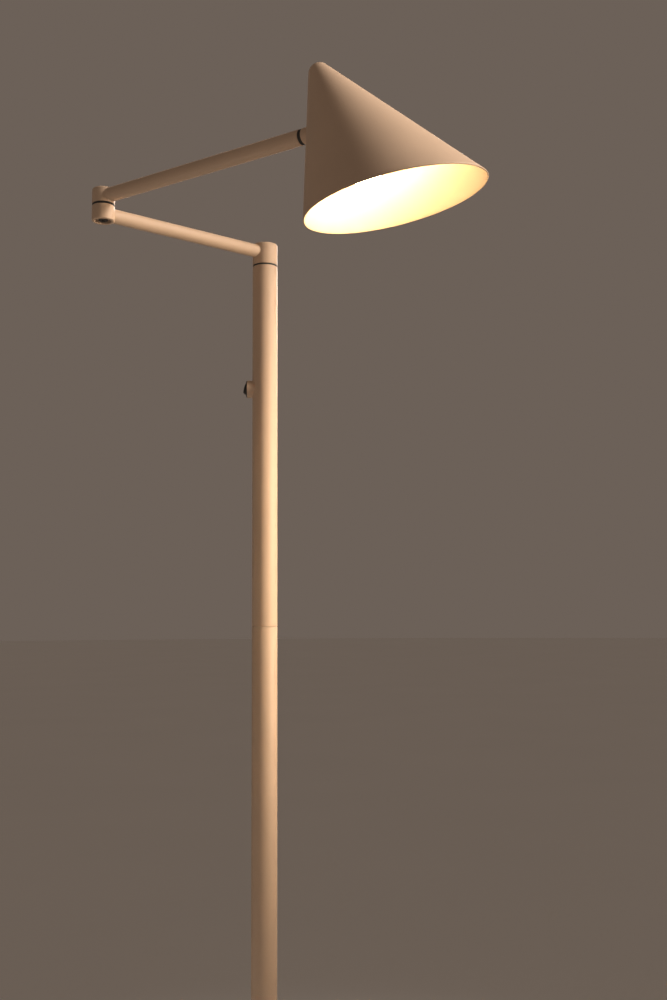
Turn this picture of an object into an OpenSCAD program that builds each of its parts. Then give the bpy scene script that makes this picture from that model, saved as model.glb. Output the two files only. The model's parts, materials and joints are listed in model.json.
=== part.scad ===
// Adjustable arm floor lamp: round weighted base, three-section pole, two folding
// horizontal arms and an obliquely cut conical shade that rolls about the upper arm.
// Origin: centre of the base on the floor. +Z up, +X right, +Y to the back.

/* [Base] */
// Diameter of the round base
base_d = 260; // [220:1:330]
// Thickness of the cast weight
weight_t = 16; // [14:0.5:24]
// Sheet thickness of the base cover
cover_wall = 1.5; // [1:0.1:2]
// Radius of the cover's top edge
cover_edge = 6; // [3:0.5:9]
// Thickness of the rubber pad under the weight
pad_t = 3; // [2:0.5:5]
// Gap between the floor and the cover's lower edge
cover_lift = 1; // [0.5:0.1:1.5]
// Thread diameter of the bolt that holds the pole on the base
base_bolt_d = 10; // [8:1:12]

/* [Pole] */
// Outer diameter of the pole and of the cap on it
pole_d = 28; // [24:0.5:36]
// Wall thickness of the pole tubes
pole_wall = 1.2; // [1:0.1:2]
// Length of one of the three pole sections
section_l = 405; // [300:1:500]
// Bevel on the ends of each pole tube
tube_bevel = 0.4; // [0.2:0.1:0.6]
// Length that each pressed-in plug holds a tube
plug_l = 20; // [14:1:30]
// Thread diameter of the spigots that join the sections
spigot_d = 16; // [13:0.5:17]
// Height of the cord grommet above the base
grommet_h = 40; // [32:1:120]

/* [Swivels] */
// Thickness of the black washers under the cap and in the elbow
washer_t = 2; // [1:0.1:2.5]
// How far the black washers stand back from the painted surface
washer_setback = 0.3; // [0.2:0.1:1]
// Wall thickness of the cap on the pole
cap_wall = 3; // [2.5:0.1:4]
// Height of the lower arm's axis above the cap's lower face
cap_arm_z = 15; // [13:0.5:20]
// Radius of the housings' rounded edges
housing_edge = 2.5; // [1.5:0.1:3]
// Diameter of the hollow spindle in the pole's top
spindle_d = 10; // [9:0.5:11]
// Diameter of the stop pin in the pole's top
stop_pin_d = 2.5; // [2:0.1:3]
// Width of the stop land in the spindle's groove, in degrees
stop_land = 16; // [12:1:30]

/* [Arms] */
// Outer diameter of both arm tubes
arm_d = 14.5; // [12:0.5:18]
// Wall thickness of both arm tubes
arm_wall = 1; // [0.8:0.1:1.5]
// Lower arm, from the pole's axis to the elbow's axis
lower_arm_l = 204; // [160:1:320]
// Upper arm, from the elbow's axis to the middle of the shade's ring
upper_arm_l = 253; // [200:1:400]
// Direction of the lower arm, in degrees about +Z from +X
lower_heading = 219.5; // [0:0.5:360]
// Direction of the upper arm, in degrees about +Z from +X
upper_heading = 325.3; // [0:0.1:360]
// Diameter of the elbow's two housings
elbow_d = 23; // [21:0.5:30]
// Housing height above and below the arm tube
housing_margin = 0.75; // [0.5:0.05:2]
// Vertical room between the cap and the upper arm passing over it
fold_gap = 1.25; // [1:0.05:2]
// Diameter of the elbow's clamping screw
elbow_screw_d = 5; // [4:1:6]
// Diameter of the recess under the elbow
recess_d = 16.5; // [14:0.5:17]
// Depth of the recess under the elbow
recess_depth = 4; // [3.8:0.1:5]

/* [Shade] */
// Half angle of the cone
half_angle = 26; // [22:0.5:30]
// Lean of the cone's near side back towards the arm, in degrees
near_lean = 3; // [0:0.5:5]
// Distance of the cone's virtual tip in front of the ring's middle
apex_s = 15.5; // [14:0.5:22]
// Height of the cone's virtual tip above the arm's axis
apex_t = 70; // [60:1:90]
// Length of the cone's near side, from the virtual tip to the rim
near_side_l = 157; // [140:1:200]
// Tilt of the rim's plane, rising away from the arm, in degrees
rim_tilt = 8; // [0:0.5:14]
// Radius of the rounded tip
tip_r = 10; // [8:0.5:14]
// Sheet thickness of the shade
shade_wall = 1.2; // [0.8:0.1:1.5]
// Roll of the shade about the arm in the stored pose, in degrees
shade_roll = 9.5; // [-90:0.5:90]
// Thickness of the black ring between arm and shade
ring_t = 3.5; // [2.5:0.1:4]
// Diameter of the hollow shade spindle
shade_spindle_d = 8; // [7:0.5:9]
// Thickness of the saddle washer inside the shade, at its middle
saddle_t = 2.6; // [2.4:0.1:4]
// Thickness of the lampholder's bracket
bracket_t = 1.5; // [1:0.1:2]
// Width of the lampholder's bracket
bracket_w = 10; // [9:0.5:11]

/* [Lampholder and bulb] */
// Distance from the cone's virtual tip to the lampholder
holder_a = 42; // [41:0.5:50]
// Outer diameter of the lampholder
holder_d = 26; // [25:0.5:27]
// Length of the lampholder's cap
holder_cap_l = 14; // [12:0.5:16]
// Length of the lampholder's skirt
skirt_l = 30; // [29:0.5:34]
// Diameter of the bulb's screw cap
bulb_cap_d = 13.9; // [13.7:0.05:13.95]
// Diameter of the bulb's globe
globe_d = 45; // [40:1:46]
// Length of the bulb below the lampholder's mouth
bulb_out = 48; // [45:1:50]
// Wall thickness of the globe
globe_wall = 1; // [0.8:0.1:1.5]

/* [Switch] */
// Depth of the switch's axis below the pole's top
switch_drop = 140; // [60:1:300]
// Outer diameter of the switch's boss
boss_d = 19.5; // [19:0.5:20]
// How far the boss stands out of the pole
boss_out = 5.7; // [5:0.1:9]
// Diameter of the round rocker's opening
rocker_bore_d = 14.4; // [14:0.1:14.8]
// Tilt of the rocker each side of its middle, in degrees
rocker_tilt = 15; // [10:1:15]
// Height of the rocker's face above its pivot
rocker_h = 4.7; // [4.2:0.1:5]

/* [Fits] */
// Gap around a pressed or glued piece
press_gap = 0.02; // [0.01:0.01:0.03]
// Gap around a piece that turns
running_gap = 0.05; // [0.02:0.01:0.08]
// Gap around a threaded or loose piece
loose_gap = 0.15; // [0.1:0.05:0.3]
// Gap between the ends of two pole sections
seam_gap = 0.2; // [0.1:0.05:0.4]
// Diameter of the internal mains lead
lead_d = 4.5; // [4:0.1:5]

/* [Hidden] */
$fn = 96;
small_fn = 48;
hex_fn = 6;
tiny = 0.01;
// How far a cutter reaches past the face that it cuts
past = 1;

// Colours of the finishes
sand = [0.79, 0.66, 0.54];
black = [0.07, 0.06, 0.06];
steel = [0.68, 0.68, 0.70];
iron = [0.25, 0.25, 0.26];
brass = [0.80, 0.64, 0.32];
china = [0.92, 0.91, 0.87];
opal = [1.00, 0.93, 0.78];

// Base
base_r = base_d / 2;
base_h = pad_t + weight_t + cover_wall;
weight_gap = 2.5;
weight_r = base_r - cover_wall - weight_gap;
pad_inset = 2;
pad_r = weight_r - pad_inset;
bolt_r = base_bolt_d / 2;
bolt_head_r = base_bolt_d * 0.9;
bolt_head_h = base_bolt_d * 0.6;
bolt_grip = 15;
bolt_hole_l = bolt_grip + 2;
base_washer_r = base_bolt_d * 1.2;
base_washer_t = 2;
pocket_room = 1;
pocket_depth = bolt_head_h + base_washer_t + pocket_room;
pocket_r = base_washer_r + pocket_room;
washer_z = pad_t + pocket_depth - base_washer_t;

// Pole
pole_r = pole_d / 2;
pole_bore_r = pole_r - pole_wall;
section_pitch = section_l + seam_gap;
function section_z(i) = base_h + i * section_pitch;
pole_top_z = section_z(2) + section_l;
spigot_r = spigot_d / 2;
spigot_l = plug_l * 0.7;
lead_r = lead_d / 2;
lead_room = 1;
lead_way_r = lead_r + lead_room;
grommet_z = base_h + grommet_h;
grommet_wall = 2;
grommet_lip = 1.5;
grommet_hole_r = lead_r + grommet_wall;
grommet_flange_r = grommet_hole_r + grommet_lip;
grommet_flange_t = 2;
lead_bend_r = 7;
lead_tail = 2;

// Swivel in the pole's top
washer_r = pole_r - washer_setback;
cap_z = pole_top_z + washer_t;
lower_z = cap_z + cap_arm_z;
flange_t = 5;
flange_r = pole_r - cap_wall;
spindle_r = spindle_d / 2;
spring_h = 1.6;
spring_t = 0.7;
top_nut_t = 5;
top_nut_r = spindle_d * 0.92;
spring_z = pole_top_z - plug_l - running_gap - spring_h;
top_nut_z = spring_z - top_nut_t;
thread_tail = 1;
spindle_end_z = top_nut_z - thread_tail;
stop_r = (spindle_r + flange_r) / 2;
stop_pin_r = stop_pin_d / 2;
groove_side = 0.25;
groove_depth = 3;
stop_reach = groove_depth - 0.5;
stop_seat = 8;
stop_angle = lower_heading;

// Arms and elbow
arm_r = arm_d / 2;
arm_bore_r = arm_r - arm_wall;
housing_h = arm_d + 2 * housing_margin;
elbow_r = elbow_d / 2;
elbow_wall = 2.5;
chamber_r = elbow_r - elbow_wall;
lower_housing_z = lower_z - housing_h / 2;
elbow_gap_z = lower_z + housing_h / 2;
upper_housing_z = elbow_gap_z + washer_t;
upper_z = upper_housing_z + housing_h / 2;
cap_h = upper_z - arm_r - fold_gap - cap_z;
cap_roof = 3;
elbow_floor_t = 3;
elbow_floor_z = lower_housing_z + recess_depth + elbow_floor_t;
elbow_roof_t = 3.5;
elbow_screw_r = elbow_screw_d / 2;
post_r = elbow_screw_r + 2;
screw_head_r = elbow_screw_d;
screw_head_h = 2.2;
screw_grip = 14;
screw_socket_r = elbow_screw_r * 0.8;
elbow_spring_h = 1.2;
elbow_spring_r = recess_d / 2 - 1.5;
elbow_pin_r = 1;
elbow_pin_h = 4;
elbow_pin_seat = 2.5;
elbow_pin_at = (post_r + chamber_r) / 2;
lug_w = 2.4;
lead_lift = elbow_floor_z + lead_r + 0.5 - lower_z;

// Shade, in its own frame: origin at the ring's middle, +X along the arm, +Z up
cone_lean = half_angle - near_lean;
wall_s = apex_s - apex_t * tan(near_lean);
saddle_s = wall_s + shade_wall + saddle_t;
far_side_l = near_side_l * 1.6;
rim_point = [
    apex_s - near_side_l * sin(near_lean),
    0,
    apex_t - near_side_l * cos(near_lean)
];
shade_spindle_r = shade_spindle_d / 2;
end_bush_l = 14;
shade_spring_h = 1.2;
lock_nut_t = 4;
shade_nut_t = 3.5;
shade_nut_r = shade_spindle_d * 0.9;
spindle_tail = -ring_t / 2 - end_bush_l - running_gap - shade_spring_h - lock_nut_t - thread_tail;
spindle_nose = saddle_s + bracket_t + shade_nut_t + thread_tail;
bracket_reach = 8;
saddle_r = shade_spindle_r + 3;
bore_room = 0.4;

// Lampholder and bulb, measured along the cone's axis from its virtual tip
holder_r = holder_d / 2;
holder_wall = 1.4;
holder_edge = 4;
nipple_r = 4;
nipple_wall = 1.2;
nipple_up = 6;
nipple_down = 5;
holder_nut_t = 3.5;
holder_nut_r = 7.5;
skirt_a = holder_a + holder_cap_l;
mouth_a = skirt_a + skirt_l;
core_drop = 2;
core_a = skirt_a + core_drop;
core_l = 22;
core_floor = 4;
shell_t = 0.4;
shell_r = bulb_cap_d / 2 + loose_gap + shell_t;
contact_t = 1.5;
contact_r = 3;
cap_tip_l = 2;
cap_tip_r = 2.5;
cap_shoulder = 1;
bulb_cap_a = core_a + core_floor + contact_t;
collar_lift = 1;
collar_a = mouth_a + collar_lift;
globe_r = globe_d / 2;
globe_a = mouth_a + bulb_out - globe_r;
collar_end_a = globe_a - globe_r * 0.64;
collar_end_r = sqrt(pow(globe_r, 2) - pow(globe_a - collar_end_a, 2));

// Switch
switch_z = pole_top_z - switch_drop;
boss_r = boss_d / 2;
boss_face = pole_r + boss_out;
bezel_t = 1.2;
bezel_step = 0.5;
bezel_r = boss_r - bezel_step;
rocker_bore_r = rocker_bore_d / 2;
barrel_wall = 1.1;
barrel_r = rocker_bore_r + barrel_wall;
pivot_depth = 1.4;
pivot_x = boss_face - pivot_depth;
rocker_gap = 0.1;
rocker_r = rocker_bore_r - rocker_gap;
rocker_back = 2;
rocker_dish = 0.6;
pivot_r = 1;
pin_setback = 0.4;
cavity_depth = 4.6;
cavity_x = pivot_x - cavity_depth;
barrel_room = 3;
barrel_back = lead_r + barrel_room;
terminal_w = 3;
terminal_t = 0.8;
terminal_l = 4;
terminal_y = 5;

// Frames of the moving bodies

module on_lower_arm() {
    rotate([0, 0, lower_heading]) children();
}

module at_elbow() {
    on_lower_arm() translate([lower_arm_l, 0, 0]) children();
}

module on_upper_arm() {
    at_elbow() rotate([0, 0, upper_heading - lower_heading]) children();
}

module on_shade() {
    on_upper_arm()
        translate([upper_arm_l, 0, upper_z])
            rotate([shade_roll, 0, 0])
                children();
}

module on_cone() {
    on_shade()
        translate([apex_s, 0, apex_t])
            rotate([0, 180 - cone_lean, 0])
                children();
}

module on_switch() {
    translate([0, 0, switch_z]) rotate([0, -90, 0]) children();
}

// Shapes used more than once

module pipe(r_out, r_in, h) {
    difference() {
        cylinder(r = r_out, h = h);
        translate([0, 0, -tiny]) cylinder(r = r_in, h = h + 2 * tiny);
    }
}

// Round block whose top edge, and bottom edge if asked, is rounded
module rounded_block(r, h, edge, both = false) {
    rotate_extrude() {
        translate([0, both ? edge : 0]) square([r, h - (both ? 2 : 1) * edge]);
        square([r - edge, h]);
        translate([r - edge, h - edge]) circle(r = edge, $fn = small_fn);
        if (both) translate([r - edge, edge]) circle(r = edge, $fn = small_fn);
    }
}

// Outside of the cap on the pole, grown by gap
module cap_shape(gap = 0) {
    translate([0, 0, cap_z]) rounded_block(pole_r + gap, cap_h + gap, housing_edge + gap);
}

// Outside of the elbow's lower housing, grown by gap
module lower_housing_shape(gap = 0) {
    translate([0, 0, lower_housing_z - gap])
        rounded_block(elbow_r + gap, housing_h + 2 * gap, housing_edge / 2 + gap, both = true);
}

// Outside of the elbow's upper housing, grown by gap
module upper_housing_shape(gap = 0) {
    translate([0, 0, upper_housing_z]) rounded_block(elbow_r + gap, housing_h + gap, housing_edge + gap);
}

// Round bar along +X
module bar_x(r, from, to) {
    translate([from, 0, 0]) rotate([0, 90, 0]) cylinder(r = r, h = to - from);
}

// Coned spring washer, wide side down
module disc_spring(r_in, r_out, h, t) {
    rotate_extrude() polygon([[r_in, h - t], [r_in, h], [r_out, t], [r_out, 0]]);
}

module hex_nut(r, r_hole, t) {
    difference() {
        cylinder(r = r, h = t, $fn = hex_fn);
        translate([0, 0, -tiny]) cylinder(r = r_hole, h = t + 2 * tiny);
    }
}

module bevelled_tube(r, wall, l, bevel) {
    rotate_extrude() polygon([
        [r - wall, 0],
        [r - bevel, 0],
        [r, bevel],
        [r, l - bevel],
        [r - bevel, l],
        [r - wall, l]
    ]);
}

// Solid of the shade's cone with its rounded tip, grown outwards by grow
module cone_solid(grow) {
    ball_r = tip_r + grow;
    ball_a = tip_r / sin(half_angle);
    joint_a = ball_a - ball_r * sin(half_angle);
    joint_r = ball_r * cos(half_angle);
    cone_l = far_side_l - joint_a;
    on_cone() {
        translate([0, 0, ball_a]) sphere(r = ball_r);
        translate([0, 0, joint_a])
            cylinder(r1 = joint_r, r2 = joint_r + cone_l * tan(half_angle), h = cone_l);
    }
}

// Everything below the plane of the rim
module below_rim() {
    size = 4 * near_side_l;
    on_shade()
        translate(rim_point)
            rotate([0, -rim_tilt, 0])
                translate([-size / 2, -size / 2, -size])
                    cube(size);
}

// Base and pole

module base_pad() {
    color(black) cylinder(r = pad_r, h = pad_t);
}

module base_weight() {
    color(iron) translate([0, 0, pad_t]) difference() {
        rounded_block(weight_r, weight_t, cover_edge);
        translate([0, 0, -tiny]) cylinder(r = pocket_r, h = pocket_depth + tiny);
        cylinder(r = bolt_r + loose_gap, h = weight_t + tiny);
    }
}

module base_cover() {
    cover_h = base_h - cover_lift;
    inner_edge = cover_edge - cover_wall;
    color(sand) translate([0, 0, cover_lift]) difference() {
        rounded_block(base_r, cover_h, cover_edge);
        translate([0, 0, -cover_wall]) rounded_block(base_r - cover_wall, cover_h, inner_edge);
        cylinder(r = bolt_r + loose_gap, h = cover_h + tiny);
    }
}

module base_washer() {
    color(steel) translate([0, 0, washer_z])
        pipe(base_washer_r, bolt_r + loose_gap, base_washer_t);
}

module base_bolt() {
    color(steel) {
        translate([0, 0, washer_z - bolt_head_h])
            cylinder(r = bolt_head_r, h = bolt_head_h, $fn = hex_fn);
        translate([0, 0, washer_z]) cylinder(r = bolt_r, h = base_h + bolt_grip - washer_z);
    }
}

module foot_plug() {
    color(steel) translate([0, 0, base_h]) difference() {
        cylinder(r = pole_bore_r - press_gap, h = plug_l);
        translate([0, 0, -tiny]) cylinder(r = bolt_r + press_gap, h = bolt_hole_l);
    }
}

module section_tube(i) {
    translate([0, 0, section_z(i)]) bevelled_tube(pole_r, pole_wall, section_l, tube_bevel);
}

module pole_lower_tube() {
    color(sand) difference() {
        section_tube(0);
        translate([0, 0, grommet_z]) rotate([-90, 0, 0]) cylinder(r = grommet_hole_r, h = pole_d);
    }
}

module pole_middle_tube() {
    color(sand) section_tube(1);
}

module pole_upper_tube() {
    color(sand) difference() {
        section_tube(2);
        on_switch() cylinder(r = barrel_r + loose_gap, h = pole_d);
    }
}

// Threaded spigots, pressed into the tops of the two lower sections
module pole_spigots() {
    color(steel) for (i = [0, 1]) translate([0, 0, section_z(i) + section_l]) difference() {
        union() {
            translate([0, 0, -plug_l]) cylinder(r = pole_bore_r - press_gap, h = plug_l);
            cylinder(r = spigot_r, h = spigot_l);
        }
        translate([0, 0, -plug_l - tiny]) cylinder(r = lead_way_r, h = plug_l + spigot_l + 2 * tiny);
    }
}

// Threaded sockets, pressed into the bottoms of the two upper sections
module pole_sockets() {
    color(steel) for (i = [1, 2]) translate([0, 0, section_z(i)]) difference() {
        cylinder(r = pole_bore_r - press_gap, h = plug_l);
        translate([0, 0, -tiny]) cylinder(r = spigot_r + press_gap, h = spigot_l + seam_gap);
        cylinder(r = lead_way_r, h = plug_l + tiny);
    }
}

// Rubber bush where the mains lead enters the pole
module cord_grommet() {
    reach = pole_r + grommet_flange_t;
    color(black) translate([0, 0, grommet_z]) rotate([-90, 0, 0]) difference() {
        union() {
            difference() {
                cylinder(r = grommet_flange_r, h = reach);
                translate([0, pole_d, 0])
                    rotate([90, 0, 0])
                        cylinder(r = pole_r + press_gap, h = 2 * pole_d);
            }
            translate([0, 0, pole_bore_r - grommet_flange_t])
                cylinder(r = grommet_hole_r - press_gap, h = pole_wall + 2 * grommet_flange_t - tiny);
        }
        cylinder(r = lead_r + loose_gap, h = reach + tiny);
    }
}

// Mains lead inside the pole, from the grommet to the cap
module pole_lead() {
    lead_top = cap_z + flange_t;
    rise_z = grommet_z + lead_bend_r;
    color(black) {
        translate([0, 0, rise_z]) cylinder(r = lead_r, h = lead_top - rise_z);
        translate([0, lead_bend_r, rise_z])
            rotate([0, 90, 0])
                rotate([0, 0, -90])
                    rotate_extrude(angle = 90)
                        translate([lead_bend_r, 0])
                            circle(r = lead_r, $fn = small_fn);
        translate([0, lead_bend_r, grommet_z])
            rotate([-90, 0, 0])
                cylinder(r = lead_r, h = pole_bore_r - lead_bend_r - grommet_flange_t - loose_gap);
    }
}

// Swivel in the pole's top

module stop_pin_hole(gap, from, to) {
    rotate([0, 0, stop_angle])
        translate([stop_r, 0, from])
            cylinder(r = stop_pin_r + gap, h = to - from, $fn = small_fn);
}

module top_bush() {
    color(steel) difference() {
        translate([0, 0, pole_top_z - plug_l]) cylinder(r = pole_bore_r - press_gap, h = plug_l);
        translate([0, 0, pole_top_z - plug_l - tiny])
            cylinder(r = spindle_r + running_gap, h = plug_l + 2 * tiny);
        stop_pin_hole(press_gap, pole_top_z - stop_seat, pole_top_z + tiny);
    }
}

module top_washer() {
    color(black) difference() {
        translate([0, 0, pole_top_z]) pipe(washer_r, spindle_r + loose_gap, washer_t - running_gap);
        stop_pin_hole(press_gap, pole_top_z - tiny, cap_z);
    }
}

module top_stop_pin() {
    color(steel) stop_pin_hole(0, pole_top_z - stop_seat, cap_z + stop_reach);
}

// Cap that turns on the pole and carries the lower arm
module pole_cap() {
    color(sand) difference() {
        cap_shape();
        translate([0, 0, cap_z - tiny]) cylinder(r = flange_r, h = cap_h - cap_roof + tiny);
        on_lower_arm() translate([0, 0, lower_z + lead_lift]) bar_x(lead_r + loose_gap, 0, pole_d);
    }
}

// Hollow flanged spindle that holds the cap down and lets the lead through
module top_spindle() {
    color(steel) difference() {
        union() {
            translate([0, 0, cap_z]) cylinder(r = flange_r - press_gap, h = flange_t);
            translate([0, 0, spindle_end_z]) cylinder(r = spindle_r, h = cap_z - spindle_end_z + tiny);
        }
        translate([0, 0, spindle_end_z - tiny])
            cylinder(r = lead_way_r, h = cap_z + flange_t - spindle_end_z + 2 * tiny);
        translate([0, 0, cap_z - tiny])
            rotate([0, 0, stop_angle + 180 + stop_land / 2])
                rotate_extrude(angle = 360 - stop_land)
                    translate([stop_r - stop_pin_r - groove_side, 0])
                        square([2 * (stop_pin_r + groove_side), groove_depth + tiny]);
    }
}

module top_spring() {
    color(steel) translate([0, 0, spring_z])
        disc_spring(spindle_r + loose_gap, top_nut_r, spring_h, spring_t);
}

module top_nut() {
    color(steel) translate([0, 0, top_nut_z]) hex_nut(top_nut_r, spindle_r + press_gap, top_nut_t);
}

// Arms and elbow

// Arm tube along +X at height z; its ends are cut to fit the housings given as children
module arm_tube(l, z) {
    difference() {
        translate([0, 0, z]) bar_x(arm_r, 0, l);
        translate([0, 0, z]) bar_x(arm_bore_r, -tiny, l + tiny);
        children();
    }
}

module lower_arm_tube() {
    color(sand) on_lower_arm() arm_tube(lower_arm_l, lower_z) {
        cap_shape(press_gap);
        translate([lower_arm_l, 0, 0]) lower_housing_shape(press_gap);
    }
}

module lower_arm_lead() {
    color(black) on_lower_arm()
        translate([0, 0, lower_z + lead_lift])
            bar_x(lead_r, flange_r - lead_tail, lower_arm_l - chamber_r);
}

// Lower half of the elbow: a cup, open at the top, with the screw's recess below
module elbow_lower_housing() {
    color(sand) at_elbow() difference() {
        lower_housing_shape();
        translate([0, 0, lower_housing_z]) {
            translate([0, 0, -tiny]) cylinder(r = recess_d / 2, h = recess_depth + tiny);
            cylinder(r = elbow_screw_r + running_gap, h = housing_h);
        }
        translate([0, 0, elbow_floor_z]) cylinder(r = chamber_r, h = housing_h);
        translate([0, 0, lower_z + lead_lift]) bar_x(lead_r + loose_gap, -elbow_d, 0);
        elbow_pin(press_gap);
    }
}

module elbow_pin(gap) {
    translate([elbow_pin_at, 0, elbow_floor_z - elbow_pin_seat])
        cylinder(r = elbow_pin_r + gap, h = elbow_pin_seat + elbow_pin_h, $fn = small_fn);
}

module elbow_stop_pin() {
    color(steel) at_elbow() elbow_pin(0);
}

module elbow_washer() {
    color(black) at_elbow() translate([0, 0, elbow_gap_z])
        pipe(elbow_r - washer_setback, chamber_r + loose_gap, washer_t - running_gap);
}

// Upper half of the elbow: an upturned cup with a threaded post, and a stop lug
// that stands opposite the pin when the arms are in line
module elbow_upper_housing() {
    roof_z = upper_housing_z + housing_h - elbow_roof_t;
    post_z = elbow_floor_z + running_gap;
    lug_z = elbow_floor_z + elbow_pin_h / 2;
    color(sand) on_upper_arm() difference() {
        union() {
            difference() {
                upper_housing_shape();
                translate([0, 0, upper_housing_z - tiny])
                    cylinder(r = chamber_r, h = roof_z - upper_housing_z + tiny);
                translate([0, 0, upper_z]) bar_x(lead_r + loose_gap, 0, elbow_d);
            }
            translate([0, 0, post_z]) cylinder(r = post_r, h = roof_z - post_z + tiny);
            rotate([0, 0, 180])
                translate([0, -lug_w / 2, lug_z])
                    cube([elbow_pin_at + elbow_pin_r, lug_w, elbow_pin_h / 2]);
        }
        translate([0, 0, post_z - tiny]) cylinder(r = elbow_screw_r + press_gap, h = screw_grip);
    }
}

module elbow_spring() {
    color(steel) on_upper_arm()
        translate([0, 0, lower_housing_z + recess_depth - running_gap - elbow_spring_h])
            disc_spring(elbow_screw_r + loose_gap, elbow_spring_r, elbow_spring_h, spring_t);
}

module elbow_screw() {
    head_z = lower_housing_z + recess_depth - running_gap - elbow_spring_h - screw_head_h;
    thread_end = elbow_floor_z + screw_grip - thread_tail;
    color(black) on_upper_arm() difference() {
        union() {
            translate([0, 0, head_z]) cylinder(r = screw_head_r, h = screw_head_h);
            translate([0, 0, head_z]) cylinder(r = elbow_screw_r, h = thread_end - head_z);
        }
        translate([0, 0, head_z - tiny]) cylinder(r = screw_socket_r, h = screw_head_h, $fn = hex_fn);
    }
}

module upper_arm_tube() {
    color(sand) on_upper_arm() arm_tube(upper_arm_l - ring_t / 2, upper_z) upper_housing_shape(press_gap);
}

module upper_arm_lead() {
    color(black) on_upper_arm()
        translate([0, 0, upper_z])
            bar_x(lead_r, post_r + past, upper_arm_l + spindle_tail - past);
}

// Bush pressed into the end of the upper arm, in which the shade's spindle turns
module arm_end_bush() {
    color(steel) on_shade() difference() {
        bar_x(arm_bore_r - press_gap, -ring_t / 2 - end_bush_l, -ring_t / 2);
        bar_x(shade_spindle_r + running_gap, -ring_t - end_bush_l, 0);
    }
}

module shade_ring() {
    color(black) on_shade() difference() {
        bar_x(arm_r - washer_setback / 2, -ring_t / 2, ring_t / 2 - running_gap);
        bar_x(shade_spindle_r + loose_gap, -ring_t, ring_t);
    }
}

// Shade and what turns with it

module shade_spring() {
    color(steel) on_shade()
        translate([-ring_t / 2 - end_bush_l - running_gap, 0, 0])
            rotate([0, 90, 0]) mirror([0, 0, 1])
                disc_spring(shade_spindle_r + loose_gap, arm_bore_r - bore_room, shade_spring_h, spring_t);
}

module shade_lock_nut() {
    nut_s = spindle_tail + thread_tail;
    color(steel) on_shade() difference() {
        bar_x(arm_bore_r - bore_room, nut_s, nut_s + lock_nut_t);
        bar_x(shade_spindle_r + press_gap, nut_s - past, nut_s + lock_nut_t + past);
    }
}

module shade_spindle() {
    color(steel) on_shade() difference() {
        bar_x(shade_spindle_r, spindle_tail, spindle_nose);
        bar_x(lead_r + loose_gap, spindle_tail - past, spindle_nose + past);
    }
}

// Short tube between the ring and the cone, its end cut to the cone
module shade_stub() {
    color(sand) difference() {
        on_shade() bar_x(arm_r, ring_t / 2, apex_s + arm_r);
        on_shade() bar_x(shade_spindle_r + press_gap, 0, apex_s + arm_d);
        cone_solid(press_gap);
    }
}

module shade() {
    color(sand) difference() {
        cone_solid(0);
        cone_solid(-shade_wall);
        below_rim();
        on_shade() bar_x(shade_spindle_r + loose_gap, 0, saddle_s + ring_t);
    }
}

module saddle_washer() {
    color(steel) difference() {
        intersection() {
            on_shade() bar_x(saddle_r, 0, saddle_s);
            cone_solid(-shade_wall - press_gap);
        }
        on_shade() bar_x(shade_spindle_r + loose_gap, 0, saddle_s + past);
    }
}

module shade_nut() {
    color(steel) on_shade()
        translate([saddle_s + bracket_t, 0, 0])
            rotate([0, 90, 0])
                hex_nut(shade_nut_r, shade_spindle_r + press_gap, shade_nut_t);
}

// Point in the shade's upright plane: a along the cone's axis, r towards the arm
function cone_point(a, r) = [
    apex_s + a * sin(cone_lean) - r * cos(cone_lean),
    apex_t - a * cos(cone_lean) - r * sin(cone_lean)
];

// How far towards the arm a line across the cone at a reaches the upright plane s
function reach_at(a, s) = (apex_s + a * sin(cone_lean) - s) / cos(cone_lean);

module lamp_bracket() {
    top_a = holder_a - bracket_t;
    near_s = saddle_s + bracket_t;
    color(steel) difference() {
        on_shade()
            rotate([90, 0, 0])
                translate([0, 0, -bracket_w / 2])
                    linear_extrude(bracket_w)
                        polygon([
                            [saddle_s, -bracket_reach],
                            [near_s, -bracket_reach],
                            cone_point(holder_a, reach_at(holder_a, near_s)),
                            cone_point(holder_a, -bracket_reach),
                            cone_point(top_a, -bracket_reach),
                            cone_point(top_a, reach_at(top_a, saddle_s))
                        ]);
        on_shade() bar_x(shade_spindle_r + loose_gap, 0, near_s + past);
        on_cone() translate([0, 0, top_a - past]) cylinder(r = nipple_r, h = bracket_t + 2 * past);
    }
}

// Lampholder

module holder_nipple() {
    color(steel) on_cone() translate([0, 0, holder_a - nipple_up])
        pipe(nipple_r - press_gap, nipple_r - nipple_wall, nipple_up + nipple_down);
}

module holder_nut() {
    color(steel) on_cone() translate([0, 0, holder_a - bracket_t - holder_nut_t])
        hex_nut(holder_nut_r, nipple_r, holder_nut_t);
}

module holder_cap() {
    color(black) on_cone() difference() {
        translate([0, 0, skirt_a]) mirror([0, 0, 1]) rounded_block(holder_r, holder_cap_l, holder_edge);
        translate([0, 0, skirt_a + tiny])
            mirror([0, 0, 1])
                rounded_block(holder_r - holder_wall, holder_cap_l - holder_edge, holder_edge - holder_wall);
        translate([0, 0, holder_a - past]) cylinder(r = nipple_r, h = holder_cap_l);
    }
}

module holder_skirt() {
    color(black) on_cone() translate([0, 0, skirt_a + press_gap])
        pipe(holder_r, holder_r - holder_wall, skirt_l - press_gap);
}

module holder_core() {
    color(china) on_cone() translate([0, 0, core_a]) difference() {
        cylinder(r = holder_r - holder_wall - press_gap, h = core_l);
        translate([0, 0, core_floor]) cylinder(r = shell_r + press_gap, h = core_l);
    }
}

module holder_screw_shell() {
    color(brass) on_cone() translate([0, 0, core_a + core_floor + contact_t])
        pipe(shell_r, shell_r - shell_t, core_l - core_floor - contact_t);
}

module holder_contact() {
    color(brass) on_cone() translate([0, 0, core_a + core_floor])
        cylinder(r = contact_r, h = contact_t - press_gap);
}

// Bulb

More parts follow.
